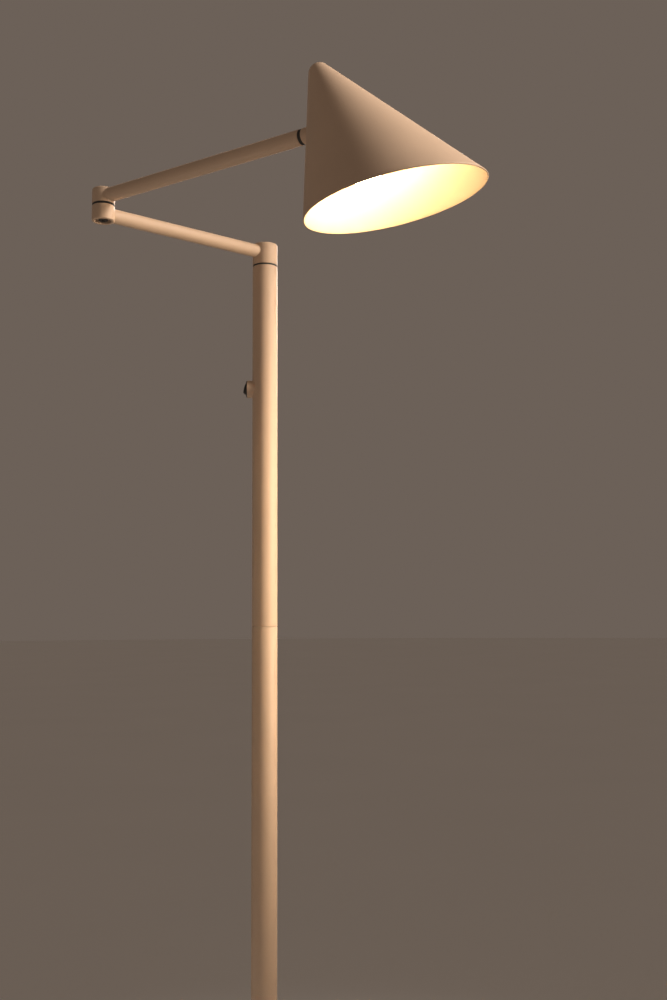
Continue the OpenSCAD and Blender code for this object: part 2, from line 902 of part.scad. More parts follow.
module bulb_cap() {
    color(steel) on_cone() {
        translate([0, 0, bulb_cap_a + cap_tip_l])
            cylinder(r = bulb_cap_d / 2, h = collar_a - bulb_cap_a - cap_tip_l);
        translate([0, 0, bulb_cap_a])
            cylinder(r1 = cap_tip_r, r2 = bulb_cap_d / 2 - cap_shoulder, h = cap_tip_l);
    }
}

module bulb_collar() {
    color(china) on_cone() translate([0, 0, collar_a])
        cylinder(r1 = bulb_cap_d / 2 + cap_shoulder, r2 = collar_end_r, h = collar_end_a - collar_a);
}

module bulb_globe() {
    color(opal) on_cone() difference() {
        translate([0, 0, globe_a]) sphere(r = globe_r);
        translate([0, 0, globe_a]) sphere(r = globe_r - globe_wall);
        translate([0, 0, collar_end_a - globe_d]) cylinder(r = globe_d, h = globe_d);
    }
}

// Switch, in its own frame: +Z out of the pole, +X up the pole

module switch_boss() {
    color(sand) difference() {
        on_switch() cylinder(r = boss_r, h = boss_face);
        on_switch() cylinder(r = barrel_r + loose_gap, h = boss_face + tiny);
        translate([0, 0, switch_z - boss_d]) cylinder(r = pole_r + press_gap, h = 2 * boss_d);
    }
}

module switch_body() {
    color(black) on_switch() difference() {
        union() {
            translate([0, 0, barrel_back]) cylinder(r = barrel_r, h = boss_face - barrel_back);
            translate([0, 0, boss_face]) cylinder(r = bezel_r, h = bezel_t);
        }
        translate([0, 0, cavity_x]) cylinder(r = rocker_bore_r, h = boss_face);
        translate([0, barrel_r, pivot_x]) rotate([90, 0, 0])
            cylinder(r = pivot_r + running_gap, h = 2 * barrel_r, $fn = small_fn);
    }
}

module switch_terminals() {
    color(brass) on_switch() for (side = [-1, 1])
        translate([-terminal_w / 2, side * terminal_y - terminal_t / 2, barrel_back - terminal_l])
            cube([terminal_w, terminal_t, terminal_l]);
}

// Round rocker, pressed in at its upper half
module switch_rocker() {
    pin_l = 2 * (barrel_r - pin_setback);
    color(black) on_switch() translate([0, 0, pivot_x]) rotate([0, rocker_tilt, 0]) {
        difference() {
            intersection() {
                sphere(r = rocker_r);
                translate([-rocker_r, -rocker_r, -rocker_back])
                    cube([2 * rocker_r, 2 * rocker_r, rocker_back + rocker_h]);
            }
            translate([0, rocker_r, rocker_h]) rotate([90, 0, 0]) linear_extrude(2 * rocker_r)
                polygon([[-rocker_r, tiny], [0, -rocker_dish], [rocker_r, tiny]]);
        }
        translate([0, pin_l / 2, 0]) rotate([90, 0, 0]) cylinder(r = pivot_r, h = pin_l, $fn = small_fn);
    }
}

base_pad();
base_weight();
base_cover();
base_washer();
base_bolt();
foot_plug();
pole_lower_tube();
pole_middle_tube();
pole_upper_tube();
pole_spigots();
pole_sockets();
cord_grommet();
pole_lead();
top_bush();
top_washer();
top_stop_pin();
switch_boss();
switch_body();
switch_terminals();
switch_rocker();
pole_cap();
top_spindle();
top_spring();
top_nut();
lower_arm_tube();
lower_arm_lead();
elbow_lower_housing();
elbow_washer();
elbow_stop_pin();
elbow_upper_housing();
elbow_spring();
elbow_screw();
upper_arm_tube();
upper_arm_lead();
arm_end_bush();
shade_ring();
shade_spring();
shade_lock_nut();
shade_spindle();
shade_stub();
shade();
saddle_washer();
shade_nut();
lamp_bracket();
holder_nipple();
holder_nut();
holder_cap();
holder_skirt();
holder_core();
holder_screw_shell();
holder_contact();
bulb_cap();
bulb_collar();
bulb_globe();
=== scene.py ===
"""Finished look of the adjustable arm floor lamp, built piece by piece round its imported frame.

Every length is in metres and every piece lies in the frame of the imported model: the origin is the
middle of the base on the floor, and +Z runs up the pole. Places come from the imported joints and
boxes; each class holds the sizes of its own sub-assembly.
"""

import json
import logging
import math
from collections.abc import Callable, Iterator, Sequence
from dataclasses import dataclass
from enum import Enum

import bmesh
import bpy
from mathutils import Matrix, Vector


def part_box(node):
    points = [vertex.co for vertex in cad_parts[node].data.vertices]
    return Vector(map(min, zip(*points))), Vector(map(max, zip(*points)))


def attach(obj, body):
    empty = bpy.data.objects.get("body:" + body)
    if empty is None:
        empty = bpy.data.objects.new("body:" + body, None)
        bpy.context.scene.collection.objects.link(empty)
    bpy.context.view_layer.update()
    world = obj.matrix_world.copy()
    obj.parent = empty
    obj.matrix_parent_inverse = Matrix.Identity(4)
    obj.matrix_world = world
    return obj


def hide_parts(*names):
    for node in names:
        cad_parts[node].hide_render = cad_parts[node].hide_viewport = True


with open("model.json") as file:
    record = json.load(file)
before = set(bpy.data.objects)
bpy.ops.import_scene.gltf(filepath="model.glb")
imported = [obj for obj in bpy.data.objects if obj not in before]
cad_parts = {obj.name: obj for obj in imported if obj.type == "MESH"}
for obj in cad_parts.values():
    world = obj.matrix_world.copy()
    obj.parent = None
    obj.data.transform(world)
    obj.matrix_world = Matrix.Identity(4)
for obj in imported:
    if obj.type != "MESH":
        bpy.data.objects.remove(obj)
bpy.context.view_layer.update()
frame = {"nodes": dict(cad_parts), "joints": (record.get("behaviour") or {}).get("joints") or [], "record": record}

LOG = logging.getLogger("floor_lamp")

MM = 0.001
FULL_TURN = 2 * math.pi
QUARTER_TURN = math.pi / 2
# Sides of a full turn on large, middle, small and tiny round shapes
SIDES, HEAD_SIDES, DRILL_SIDES, FEW_SIDES, PIN_SIDES = 128, 96, 64, 48, 32
ARC_STEPS = 7
SHARP_ANGLE = math.radians(33)
WELD_DISTANCE = 0.004 * MM
# Turn between two faces at which an edge starts to count as worn, and at which it fully does
WORN_FROM = math.radians(6)
WORN_FULL = math.radians(16)
# Roundings of edges, from barely broken to rounded
FINE, BROKEN, EASED, SOFT, ROUNDED = 0.2 * MM, 0.3 * MM, 0.4 * MM, 0.5 * MM, 0.6 * MM
HEXAGON_SLOPE = math.tan(math.radians(30))

POLE_RADIUS = 14 * MM
ARM_RADIUS = 7.25 * MM
ELBOW_RADIUS = 11.5 * MM
ELBOW_CHAMBER = 9 * MM
RING_THICKNESS = 3.5 * MM
SPINDLE_RADIUS = 4 * MM
SPINDLE_PLAY = 0.15 * MM
NIPPLE_RADIUS = 4 * MM
LEAD_HOLE = 2.4 * MM
BRACKET_THICKNESS = 1.5 * MM
HOLDER_START = 42 * MM
SCREW_PITCH = 2.82 * MM

Colour = tuple[float, float, float]
Corner = tuple[float, float, float]
Point = tuple[float, float]
Shape = bmesh.types.BMesh
RingRule = Callable[[float], Vector]
Reach = Callable[[float, float], float]


class Body(Enum):
    """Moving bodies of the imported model."""

    STAND = "stand"
    ROCKER = "rocker"
    LOWER_ARM = "lower_arm"
    UPPER_ARM = "upper_arm"
    SHADE = "shade_head"


# Node trees


class Wire:
    """An output of a node that takes part in sums like a number."""

    def __init__(self, graph: "Graph", socket: bpy.types.NodeSocket) -> None:
        """Remember the tree and the socket."""
        self.graph, self.socket = graph, socket

    def __add__(self, other: "Wire | float") -> "Wire":
        """Return self + other."""
        return self.graph.maths("ADD", self, other)

    def __radd__(self, other: float) -> "Wire":
        """Return other + self."""
        return self.graph.maths("ADD", other, self)

    def __sub__(self, other: "Wire | float") -> "Wire":
        """Return self - other."""
        return self.graph.maths("SUBTRACT", self, other)

    def __rsub__(self, other: float) -> "Wire":
        """Return other - self."""
        return self.graph.maths("SUBTRACT", other, self)

    def __mul__(self, other: "Wire | float") -> "Wire":
        """Return self * other."""
        return self.graph.maths("MULTIPLY", self, other)

    def __rmul__(self, other: float) -> "Wire":
        """Return other * self."""
        return self.graph.maths("MULTIPLY", other, self)

    def __truediv__(self, other: "Wire | float") -> "Wire":
        """Return self / other."""
        return self.graph.maths("DIVIDE", self, other)

    def __rtruediv__(self, other: float) -> "Wire":
        """Return other / self."""
        return self.graph.maths("DIVIDE", other, self)


class Made:
    """A node that was just made; its outputs come back as wires."""

    def __init__(self, graph: "Graph", node: bpy.types.Node) -> None:
        """Remember the tree and the node."""
        self.graph, self.node = graph, node

    def __getitem__(self, key: str | int) -> Wire:
        """Return the output of that name or number."""
        return Wire(self.graph, self.node.outputs[key])


class Graph:
    """A shader or geometry tree that is wired from Python."""

    def __init__(self, tree: bpy.types.NodeTree) -> None:
        """Take over a tree and empty it."""
        self.tree = tree
        tree.nodes.clear()

    def node(self, kind: str, settings: dict | None = None, inputs: dict | None = None) -> Made:
        """Add a node.

        Args:
            kind: Name of the node's type.
            settings: Properties of the node, set before its sockets.
            inputs: Values or wires by socket name or number.

        Returns:
            The node, whose outputs are read with square brackets.
        """
        node = self.tree.nodes.new(kind)
        for key, value in (settings or {}).items():
            setattr(node, key, value)
        for key, value in (inputs or {}).items():
            if isinstance(value, Wire):
                self.tree.links.new(value.socket, node.inputs[key])
            else:
                node.inputs[key].default_value = value
        return Made(self, node)

    def maths(self, operation: str, *values: Wire | float) -> Wire:
        """Return the result of one Math node with that operation and those inputs."""
        return self.node("ShaderNodeMath", {"operation": operation}, dict(enumerate(values)))[0]

    def noise(self, place: Wire, size: float, detail: float = 2.0, rough: float = 0.5) -> Wire:
        """Return a noise value from 0 to 1.

        Args:
            place: Coordinates.
            size: Rough size of one blot in metres.
            detail: Octaves.
            rough: Weight of the finer octaves.

        Returns:
            The value.
        """
        values = {"Vector": place, "Scale": 1 / size, "Detail": detail, "Roughness": rough}
        return self.node("ShaderNodeTexNoise", None, values)["Fac"]

    def spread(self, value: Wire, low: float, high: float, to_low: float, to_high: float) -> Wire:
        """Return value mapped from low..high to to_low..to_high, and kept inside."""
        names = ("Value", "From Min", "From Max", "To Min", "To Max")
        return self.node("ShaderNodeMapRange", None, dict(zip(names, (value, low, high, to_low, to_high))))[0]

    def around(self, value: Wire, middle: float, less: float, more: float) -> Wire:
        """Return value's middle range mapped to middle, less or more by those amounts."""
        return self.spread(value, 0.3, 0.7, middle - less, middle + more)

    def blend(self, share: Wire | float, first: Wire | Colour, second: Wire | Colour) -> Wire:
        """Return a colour between first and second."""
        ends = [end if isinstance(end, Wire) else (*end, 1.0) for end in (first, second)]
        return self.node("ShaderNodeMix", {"data_type": "RGBA"}, {0: share, 6: ends[0], 7: ends[1]})[2]

    def tones(self, share: Wire, colour: Colour, dark: float, light: float) -> Wire:
        """Return the colour, made darker or lighter by those factors as share goes from 0 to 1."""
        return self.blend(share, shaded(colour, dark), shaded(colour, light))

    def bump(self, height: Wire, depth: float, under: Wire | None = None) -> Wire:
        """Return a bumped normal.

        Args:
            height: Height from 0 to 1.
            depth: Depth in metres that a height of 1 stands for.
            under: Normal that the bump lies on.

        Returns:
            The normal.
        """
        inputs = {"Height": height, "Distance": depth, "Strength": 1.0}
        if under is not None:
            inputs["Normal"] = under
        return self.node("ShaderNodeBump", None, inputs)["Normal"]

    def place(self) -> Wire:
        """Return the object coordinates, which move with the piece."""
        return self.node("ShaderNodeTexCoord")["Object"]

    def worn(self) -> Wire:
        """Return how much of an edge the surface is, from 0 to 1."""
        return self.node("ShaderNodeAttribute", {"attribute_name": "edge"})["Fac"]

    def polar(self, share: Wire, reach: Wire, height: Wire | float) -> tuple:
        """Return x, y and z of the point at that share of a full turn about +Z."""
        turn = share * FULL_TURN
        return self.maths("COSINE", turn) * reach, self.maths("SINE", turn) * reach, height


# Finishes


def shaded(colour: Colour, share: float) -> Colour:
    """Return the colour made darker or lighter by share."""
    return tuple(min(1.0, part * share) for part in colour)


@dataclass(frozen=True)
class Finish:
    """A material of one slot; each kind of finish says how its surface is wired."""

    name: str
    slot: str
    colour: Colour
    roughness: float

    def surface(self, graph: Graph) -> dict:
        """Return the inputs of the main shader."""
        raise NotImplementedError

    def material(self) -> bpy.types.Material:
        """Return the material, made at the first call."""
        made = bpy.data.materials.get(self.name)
        if made is None:
            made = bpy.data.materials.new(self.name)
            made.use_nodes = True
            graph = Graph(made.node_tree)
            shader = graph.node("ShaderNodeBsdfPrincipled", None, self.surface(graph))
            graph.node("ShaderNodeOutputMaterial", None, {"Surface": shader["BSDF"]})
        return made


@dataclass(frozen=True)
class PowderCoat(Finish):
    """Fine matte powder coat: a tiny even grain, faint clouds and slightly rubbed edges."""

    cloud_size: float = 55 * MM
    grain: float = 0.7 * MM
    grain_depth: float = 0.045 * MM
    orange_peel: float = 3.2 * MM
    peel_depth: float = 0.02 * MM
    unevenness: float = 0.06
    rubbed_share: float = 0.3
    rubbed_light: float = 1.18

    def surface(self, graph: Graph) -> dict:
        """Return the inputs of the main shader.

        Args:
            graph: Tree of the material.

        Returns:
            Values and wires by socket name.
        """
        place = graph.place()
        cloud = graph.noise(place, self.cloud_size, 3.0)
        speck = graph.noise(place, self.grain, 2.0, 0.6)
        peel = graph.noise(place, self.orange_peel, 1.0)
        tone = graph.spread(cloud * 0.65 + speck * 0.35, 0.3, 0.7, 0.0, 1.0)
        paint = graph.tones(tone, self.colour, 0.95, 1.05)
        rubbed = graph.worn() * graph.spread(speck, 0.35, 0.65, 0.0, self.rubbed_share)
        dull, shiny = self.roughness + self.unevenness, self.roughness - self.unevenness
        return {
            "Base Color": graph.blend(rubbed, paint, shaded(self.colour, self.rubbed_light)),
            "Roughness": graph.spread(cloud + speck * 0.5 - rubbed, 0.4, 1.1, shiny, dull),
            "Normal": graph.bump(peel, self.peel_depth, graph.bump(speck, self.grain_depth)),
            "Specular IOR Level": 0.42,
        }


@dataclass(frozen=True)
class Moulded(Finish):
    """Moulded plastic or rubber with a fine spark-eroded skin."""

    texture: float = 0.35 * MM
    texture_depth: float = 0.012 * MM
    haze_size: float = 9 * MM
    edge_light: float = 1.9
    gloss: float = 0.45

    def surface(self, graph: Graph) -> dict:
        """Return the inputs of the main shader.

        Args:
            graph: Tree of the material.

        Returns:
            Values and wires by socket name.
        """
        place = graph.place()
        skin = graph.noise(place, self.texture, 2.0, 0.65)
        haze = graph.noise(place, self.haze_size, 3.0)
        dull, shiny = self.roughness + 0.08, self.roughness - 0.07
        colour = graph.tones(haze, self.colour, 0.85, 1.2)
        return {
            "Base Color": graph.blend(graph.worn() * 0.35, colour, shaded(self.colour, self.edge_light)),
            "Roughness": graph.spread(haze + skin * 0.4, 0.4, 1.0, shiny, dull),
            "Normal": graph.bump(skin, self.texture_depth),
            "Specular IOR Level": self.gloss,
        }


@dataclass(frozen=True)
class Metal(Finish):
    """Bare or plated metal with fine turning marks, thin stains and brighter edges."""

    marks: float = 3 * MM
    marks_depth: float = 0.006 * MM
    stain_size: float = 7 * MM
    squeeze: Corner = (1.0, 1.0, 14.0)

    def surface(self, graph: Graph) -> dict:
        """Return the inputs of the main shader.

        Args:
            graph: Tree of the material.

        Returns:
            Values and wires by socket name.
        """
        place = graph.place()
        stretched = graph.node("ShaderNodeMapping", None, {"Vector": place, "Scale": self.squeeze})
        mark = graph.noise(stretched["Vector"], self.marks, 4.0, 0.7)
        stain = graph.noise(place, self.stain_size, 4.0, 0.6)
        tone = graph.tones(stain, self.colour, 0.8, 1.08)
        return {
            "Base Color": graph.blend(graph.worn() * 0.4, tone, shaded(self.colour, 1.25)),
            "Roughness": graph.around(mark * 0.6 + stain * 0.4, self.roughness, 0.08, 0.1),
            "Metallic": 1.0,
            "Normal": graph.bump(mark, self.marks_depth),
        }


@dataclass(frozen=True)
class CastIron(Finish):
    """Raw casting: sandy pits, dark scale and brown freckles."""

    rust: Colour = (0.16, 0.075, 0.035)
    sand_size: float = 1.1 * MM
    sand_depth: float = 0.25 * MM
    scale_size: float = 16 * MM
    freckle_size: float = 5 * MM

    def surface(self, graph: Graph) -> dict:
        """Return the inputs of the main shader.

        Args:
            graph: Tree of the material.

        Returns:
            Values and wires by socket name.
        """
        place = graph.place()
        sand = graph.noise(place, self.sand_size, 3.0, 0.7)
        scale = graph.noise(place, self.scale_size, 4.0, 0.6)
        freckle = graph.spread(graph.noise(place, self.freckle_size, 4.0, 0.7), 0.56, 0.68, 0.0, 0.6)
        return {
            "Base Color": graph.blend(freckle, graph.tones(scale, self.colour, 0.7, 1.25), self.rust),
            "Roughness": graph.around(sand, self.roughness, 0.1, 0.1),
            "Metallic": graph.spread(freckle, 0.0, 0.6, 0.6, 0.1),
            "Normal": graph.bump(sand, self.sand_depth),
        }


@dataclass(frozen=True)
class Glazed(Finish):
    """Glazed china or glossy white plastic: an even body under a thin clear skin."""

    coat: float = 0.6
    coat_roughness: float = 0.12
    cloud_size: float = 12 * MM
    wave_size: float = 4 * MM
    wave_depth: float = 0.02 * MM

    def surface(self, graph: Graph) -> dict:
        """Return the inputs of the main shader.

        Args:
            graph: Tree of the material.

        Returns:
            Values and wires by socket name.
        """
        place = graph.place()
        cloud = graph.noise(place, self.cloud_size, 3.0)
        wave = graph.noise(place, self.wave_size, 1.0)
        return {
            "Base Color": graph.tones(cloud, self.colour, 0.95, 1.03),
            "Roughness": graph.around(wave, self.roughness, 0.04, 0.06),
            "Coat Weight": graph.around(cloud, self.coat, 0.1, 0.1),
            "Coat Roughness": self.coat_roughness,
            "Normal": graph.bump(wave, self.wave_depth),
        }


@dataclass(frozen=True)
class LitOpal(Finish):
    """Opal globe of a bulb that is switched on: warm, a little uneven, under a satin skin."""

    cloud_size: float = 20 * MM
    glow: Colour = (1.0, 0.85, 0.48)
    glow_pale: Colour = (1.0, 0.88, 0.54)
    strength: float = 56.0

    def surface(self, graph: Graph) -> dict:
        """Return the inputs of the main shader.

        Args:
            graph: Tree of the material.

        Returns:
            Values and wires by socket name.
        """
        cloud = graph.noise(graph.place(), self.cloud_size, 2.0)
        return {
            "Base Color": graph.tones(cloud, self.colour, 0.97, 1.0),
            "Roughness": graph.around(cloud, self.roughness, 0.05, 0.05),
            "Emission Color": graph.blend(cloud, self.glow, self.glow_pale),
            "Emission Strength": self.strength,
        }


@dataclass(frozen=True)
class StudioFloor(Finish):
    """Plain pale floor with a barely visible mottle."""

    mottle_size: float = 0.9

    def surface(self, graph: Graph) -> dict:
        """Return the inputs of the main shader.

        Args:
            graph: Tree of the material.

        Returns:
            Values and wires by socket name.
        """
        cloud = graph.noise(graph.place(), self.mottle_size, 3.0)
        return {
            "Base Color": graph.tones(cloud, self.colour, 0.97, 1.02),
            "Roughness": graph.around(cloud, self.roughness, 0.04, 0.04),
        }


SAND_PAINT = PowderCoat("sand_powder_coat", "sand_paint", (0.60, 0.43, 0.305), 0.56)
BLACK_NYLON = Moulded("black_nylon", "black_nylon", (0.014, 0.013, 0.012), 0.48)
BLACK_RUBBER = Moulded(
    "black_rubber", "black_rubber", (0.022, 0.021, 0.02), 0.78, texture_depth=0.02 * MM, gloss=0.3
)
SWITCH_BLACK = Moulded("switch_black", "black_switch", (0.012, 0.011, 0.011), 0.3, gloss=0.5)
HOLDER_BLACK = Moulded("holder_phenolic", "black_holder", (0.018, 0.014, 0.012), 0.36, gloss=0.5)
BLACK_STEEL = Metal("blackened_steel", "black_steel", (0.085, 0.08, 0.078), 0.42)
BARE_STEEL = Metal("bare_steel", "bare_steel", (0.56, 0.56, 0.57), 0.34)
BRASS = Metal("brass", "brass", (0.72, 0.5, 0.2), 0.3)
NICKEL = Metal("nickel_plate", "nickel", (0.63, 0.6, 0.55), 0.24)
IRON = CastIron("cast_iron", "cast_iron", (0.11, 0.11, 0.115), 0.72)
CHINA = Glazed("glazed_china", "china", (0.86, 0.84, 0.78), 0.22)
WHITE_PLASTIC = Glazed("white_plastic", "white_plastic", (0.85, 0.83, 0.78), 0.38, coat=0.25)
OPAL = LitOpal("lit_opal_glass", "opal_glass", (0.9, 0.87, 0.8), 0.3)
PALE_FLOOR = StudioFloor("studio_floor", "", (0.94, 0.92, 0.89), 0.85)

FINISHES: dict[str, Finish] = {
    finish.slot: finish
    for finish in (
        SAND_PAINT, BLACK_NYLON, BLACK_RUBBER, SWITCH_BLACK, HOLDER_BLACK, BLACK_STEEL,
        BARE_STEEL, BRASS, NICKEL, IRON, CHINA, WHITE_PLASTIC, OPAL,
    )
}


# Places of the moving parts


def joint(name: str) -> dict:
    """Return a packed joint."""
    return next(entry for entry in frame["joints"] if entry["name"] == name)


def joint_place(name: str) -> Vector:
    """Return a packed joint's position."""
    return Vector(joint(name)["pos_m"])


def span(node: str) -> tuple[float, float]:
    """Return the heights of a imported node's bottom and top."""
    low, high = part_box(node)
    return low.z, high.z


def side_of(node: str) -> float:
    """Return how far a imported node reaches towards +X."""
    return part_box(node)[1].x


def at(x: float, y: float, z: float) -> Matrix:
    """Return a move to that point."""
    return Matrix.Translation((x, y, z))


def turned(degrees: float, axis: str) -> Matrix:
    """Return a turn about one axis."""
    return Matrix.Rotation(math.radians(degrees), 4, axis)


def heading(direction: Vector) -> Matrix:
    """Return a turn about +Z that brings +X to that direction."""
    return turned(math.degrees(math.atan2(direction.y, direction.x)), "Z")


@dataclass(frozen=True)
class Places:
    """Frames of the lamp's moving parts at rest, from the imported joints.

    The arms' frames have +X along the arm. The shade's has its origin in the middle of the black
    ring and +X along the upper arm. The cone's has its origin at the virtual tip, +Z along the
    cone's axis and +X towards its near side. The switch's has +Z out of the pole and +X up.
    """

    half_angle: float = 26.0
    near_lean: float = 3.0
    shade_roll: float = 9.5
    apex_along: float = 15.5 * MM
    apex_up: float = 70 * MM
    rocker_tilt: float = 15.0

    @property
    def elbow(self) -> Vector:
        """Point on the elbow's axis."""
        return joint_place("elbow_swivel")

    @property
    def elbow_foot(self) -> Matrix:
        """Frame of the elbow's axis, with its origin on the floor."""
        return at(self.elbow.x, self.elbow.y, 0)

    @property
    def lower_z(self) -> float:
        """Height of the lower arm's axis."""
        return joint_place("pole_swivel").z

    @property
    def upper_z(self) -> float:
        """Height of the upper arm's axis."""
        return joint_place("shade_roll").z

    @property
    def lower_length(self) -> float:
        """Distance from the pole's axis to the elbow's."""
        return self.elbow.xy.length

    @property
    def upper_length(self) -> float:
        """Distance from the elbow's axis to the middle of the ring."""
        return (joint_place("shade_roll").xy - self.elbow.xy).length

    @property
    def lower_arm(self) -> Matrix:
        """Lower arm's frame, from the pole's axis."""
        return at(0, 0, self.lower_z) @ heading(self.elbow)

    @property
    def upper_heading(self) -> Matrix:
        """Turn of the upper arm about +Z."""
        return heading(Vector(joint("shade_roll")["axis"]))

    @property
    def upper_arm(self) -> Matrix:
        """Upper arm's frame, from the elbow's axis."""
        return at(self.elbow.x, self.elbow.y, self.upper_z) @ self.upper_heading

    @property
    def shade(self) -> Matrix:
        """Shade's frame."""
        return self.upper_arm @ at(self.upper_length, 0, 0) @ turned(self.shade_roll, "X")

    @property
    def along_arm(self) -> Matrix:
        """Shade's frame with +Z along the upper arm."""
        return self.shade @ turned(90, "Y")

    @property
    def cone_lean(self) -> float:
        """Lean of the cone's axis away from the arm, in degrees."""
        return self.half_angle - self.near_lean

    @property
    def cone(self) -> Matrix:
        """Cone's frame."""
        return self.shade @ at(self.apex_along, 0, self.apex_up) @ turned(180 - self.cone_lean, "Y")

    @property
    def switch(self) -> Matrix:
        """Switch's frame, from the pole's axis."""
        return at(0, 0, joint_place("rocker_tilt").z) @ turned(-90, "Y")

    @property
    def rocker(self) -> Matrix:
        """Rocker's frame, from its pivot, with +Z out of its face."""
        return at(*joint_place("rocker_tilt")) @ turned(-90, "Y") @ turned(self.rocker_tilt, "Y")


PLACES = Places()


# Mesh shapes


def arc(middle: Point, radius: float, start: float, end: float, steps: int = ARC_STEPS) -> list[Point]:
    """Return points on an arc, both ends included, with its angles in radians."""
    turns = [start + (end - start) * step / steps for step in range(steps + 1)]
    return [(middle[0] + radius * math.cos(turn), middle[1] + radius * math.sin(turn)) for turn in turns]


def softened(corners: Sequence[Corner], closed: bool = True, steps: int = ARC_STEPS) -> list[Point]:
    """Return an outline whose corners are rounded.

    Args:
        corners: First place, second place and rounding radius of each corner.
        closed: Whether the last corner joins the first.
        steps: Steps of each rounding.

    Returns:
        The outline's points.
    """
    points: list[Point] = []
    count = len(corners)
    for index, (first, second, radius) in enumerate(corners):
        here = Vector((first, second))
        if radius <= 0 or (not closed and index in (0, count - 1)):
            points.append((first, second))
            continue
        back = (Vector(corners[index - 1][:2]) - here).normalized()
        ahead = (Vector(corners[(index + 1) % count][:2]) - here).normalized()
        half = back.angle(ahead) / 2
        middle = here + (back + ahead).normalized() * (radius / math.sin(half))
        from_middle = here + back * (radius / math.tan(half)) - middle
        to_middle = here + ahead * (radius / math.tan(half)) - middle
        sweep = from_middle.angle_signed(to_middle)
        start = math.atan2(from_middle.y, from_middle.x)
        points += arc(tuple(middle), radius, start, start - sweep, steps)
    return points


def ring(rule: RingRule, sides: int) -> list[Vector]:
    """Return the points that a rule gives for each angle of a full turn."""
    return [rule(FULL_TURN * side / sides) for side in range(sides)]


def circle(radius: float, height: float) -> RingRule:
    """Return the rule of a level circle about +Z."""
    return lambda angle: Vector((radius * math.cos(angle), radius * math.sin(angle), height))


def hexagon(across_flats: float, height: float, slope: float = 0.0) -> RingRule:
    """Return the rule of a hexagon whose corners drop with a chamfer.

    Args:
        across_flats: Distance between two flats.
        height: Height at the middle of the flats.
        slope: Drop for each metre that a corner lies further out than the flats.

    Returns:
        The rule.
    """
    sixth = FULL_TURN / 6

    def rule(angle: float) -> Vector:
        """Return the point at that angle."""
        reach = across_flats / 2 / math.cos((angle + sixth / 2) % sixth - sixth / 2)
        drop = slope * (reach - across_flats / 2)
        return Vector((reach * math.cos(angle), reach * math.sin(angle), height - drop))

    return rule


def on_pole(radius: float, lift: float, across: int) -> RingRule:
    """Return the rule of a ring that follows the pole's surface.

    Args:
        radius: Radius of the ring.
        lift: Its height above the surface.
        across: Which place of a point, first or second, runs across the pole.

    Returns:
        The rule.
    """

    def rule(angle: float) -> Vector:
        """Return the point at that angle."""
        spot = (radius * math.cos(angle), radius * math.sin(angle))
        return Vector((*spot, math.sqrt(POLE_RADIUS**2 - spot[across] ** 2) + lift))

    return rule


def skinned(rings: Sequence[Sequence[Vector]], closed: bool) -> Shape:
    """Return a surface over rings of points.

    Args:
        rings: Rings with equal counts; a ring of one point is a pole.
        closed: Whether the last ring joins the first.

    Returns:
        The surface with its faces outwards.
    """
    shape = bmesh.new()
    rows = [[shape.verts.new(point) for point in points] for points in rings]
    pairs = list(zip(rows, rows[1:]))
    if closed:
        pairs.append((rows[-1], rows[0]))
    for low, high in pairs:
        count = max(len(low), len(high))
        if count == 1:
            continue
        for side in range(count):
            after = (side + 1) % count
            face = [low[side % len(low)], low[after % len(low)]]
            face += [high[after % len(high)], high[side % len(high)]]
            shape.faces.new(list(dict.fromkeys(face)))
    bmesh.ops.recalc_face_normals(shape, faces=shape.faces)
    return shape


def lathe(outline: Sequence[Point | RingRule], closed: bool = True, sides: int = SIDES) -> Shape:
    """Return a turned shape about +Z.

    Args:
        outline: Radius and height of each ring, or a rule of its own.
        closed: Whether the last ring joins the first, as on a tube.
        sides: Sides of a full turn.

    Returns:
        The shape.
    """
    rings = []
    for entry in outline:
        if callable(entry):
            rings.append(ring(entry, sides))
        elif entry[0] < WELD_DISTANCE:
            rings.append([Vector((0, 0, entry[1]))])
        else:
            rings.append(ring(circle(*entry), sides))
    return skinned(rings, closed)


def solid(corners: Sequence[Corner], sides: int = SIDES, steps: int = ARC_STEPS) -> Shape:
    """Return a turned shape with rounded corners, closed on the axis at both ends."""
    return lathe(softened(corners, closed=False, steps=steps), closed=False, sides=sides)


def hollow(corners: Sequence[Corner], sides: int = SIDES, steps: int = ARC_STEPS) -> Shape:
    """Return a turned shape with rounded corners and a hole through it."""
    return lathe(softened(corners, steps=steps), sides=sides)


def rod(radius: float, low: float, high: float, sides: int) -> Shape:
    """Return a plain rod about +Z, as a pin or a drill."""
    return lathe([(0.0, low), (radius, low), (radius, high), (0.0, high)], False, sides)


def band(radii: Point, heights: Point, edges: Sequence[float], steps: int = ARC_STEPS) -> Shape:
    """Return a turned band.

    Args:
        radii: Inner and outer radius.
        heights: Bottom and top.
        edges: Roundings, from the inner bottom edge round to the inner top edge.
        steps: Steps of each rounding.

    Returns:
        The shape.
    """
    (inner, outer), (low, high) = radii, heights
    return hollow(list(zip((inner, outer, outer, inner), (low, low, high, high), edges)), steps=steps)


def prism(outline: Sequence[Point], width: float) -> Shape:
    """Return a flat outline with a width.

    Args:
        outline: Points in the XZ plane.
        width: Width along Y, about the middle.

    Returns:
        The shape.
    """
    shape = bmesh.new()
    near = [shape.verts.new((x, -width / 2, z)) for x, z in outline]
    far = [shape.verts.new((x, width / 2, z)) for x, z in outline]
    shape.faces.new(near)
    shape.faces.new(far)
    for index in range(len(outline)):
        after = (index + 1) % len(outline)
        shape.faces.new((near[index], near[after], far[after], far[index]))
    bmesh.ops.recalc_face_normals(shape, faces=shape.faces)
    return shape


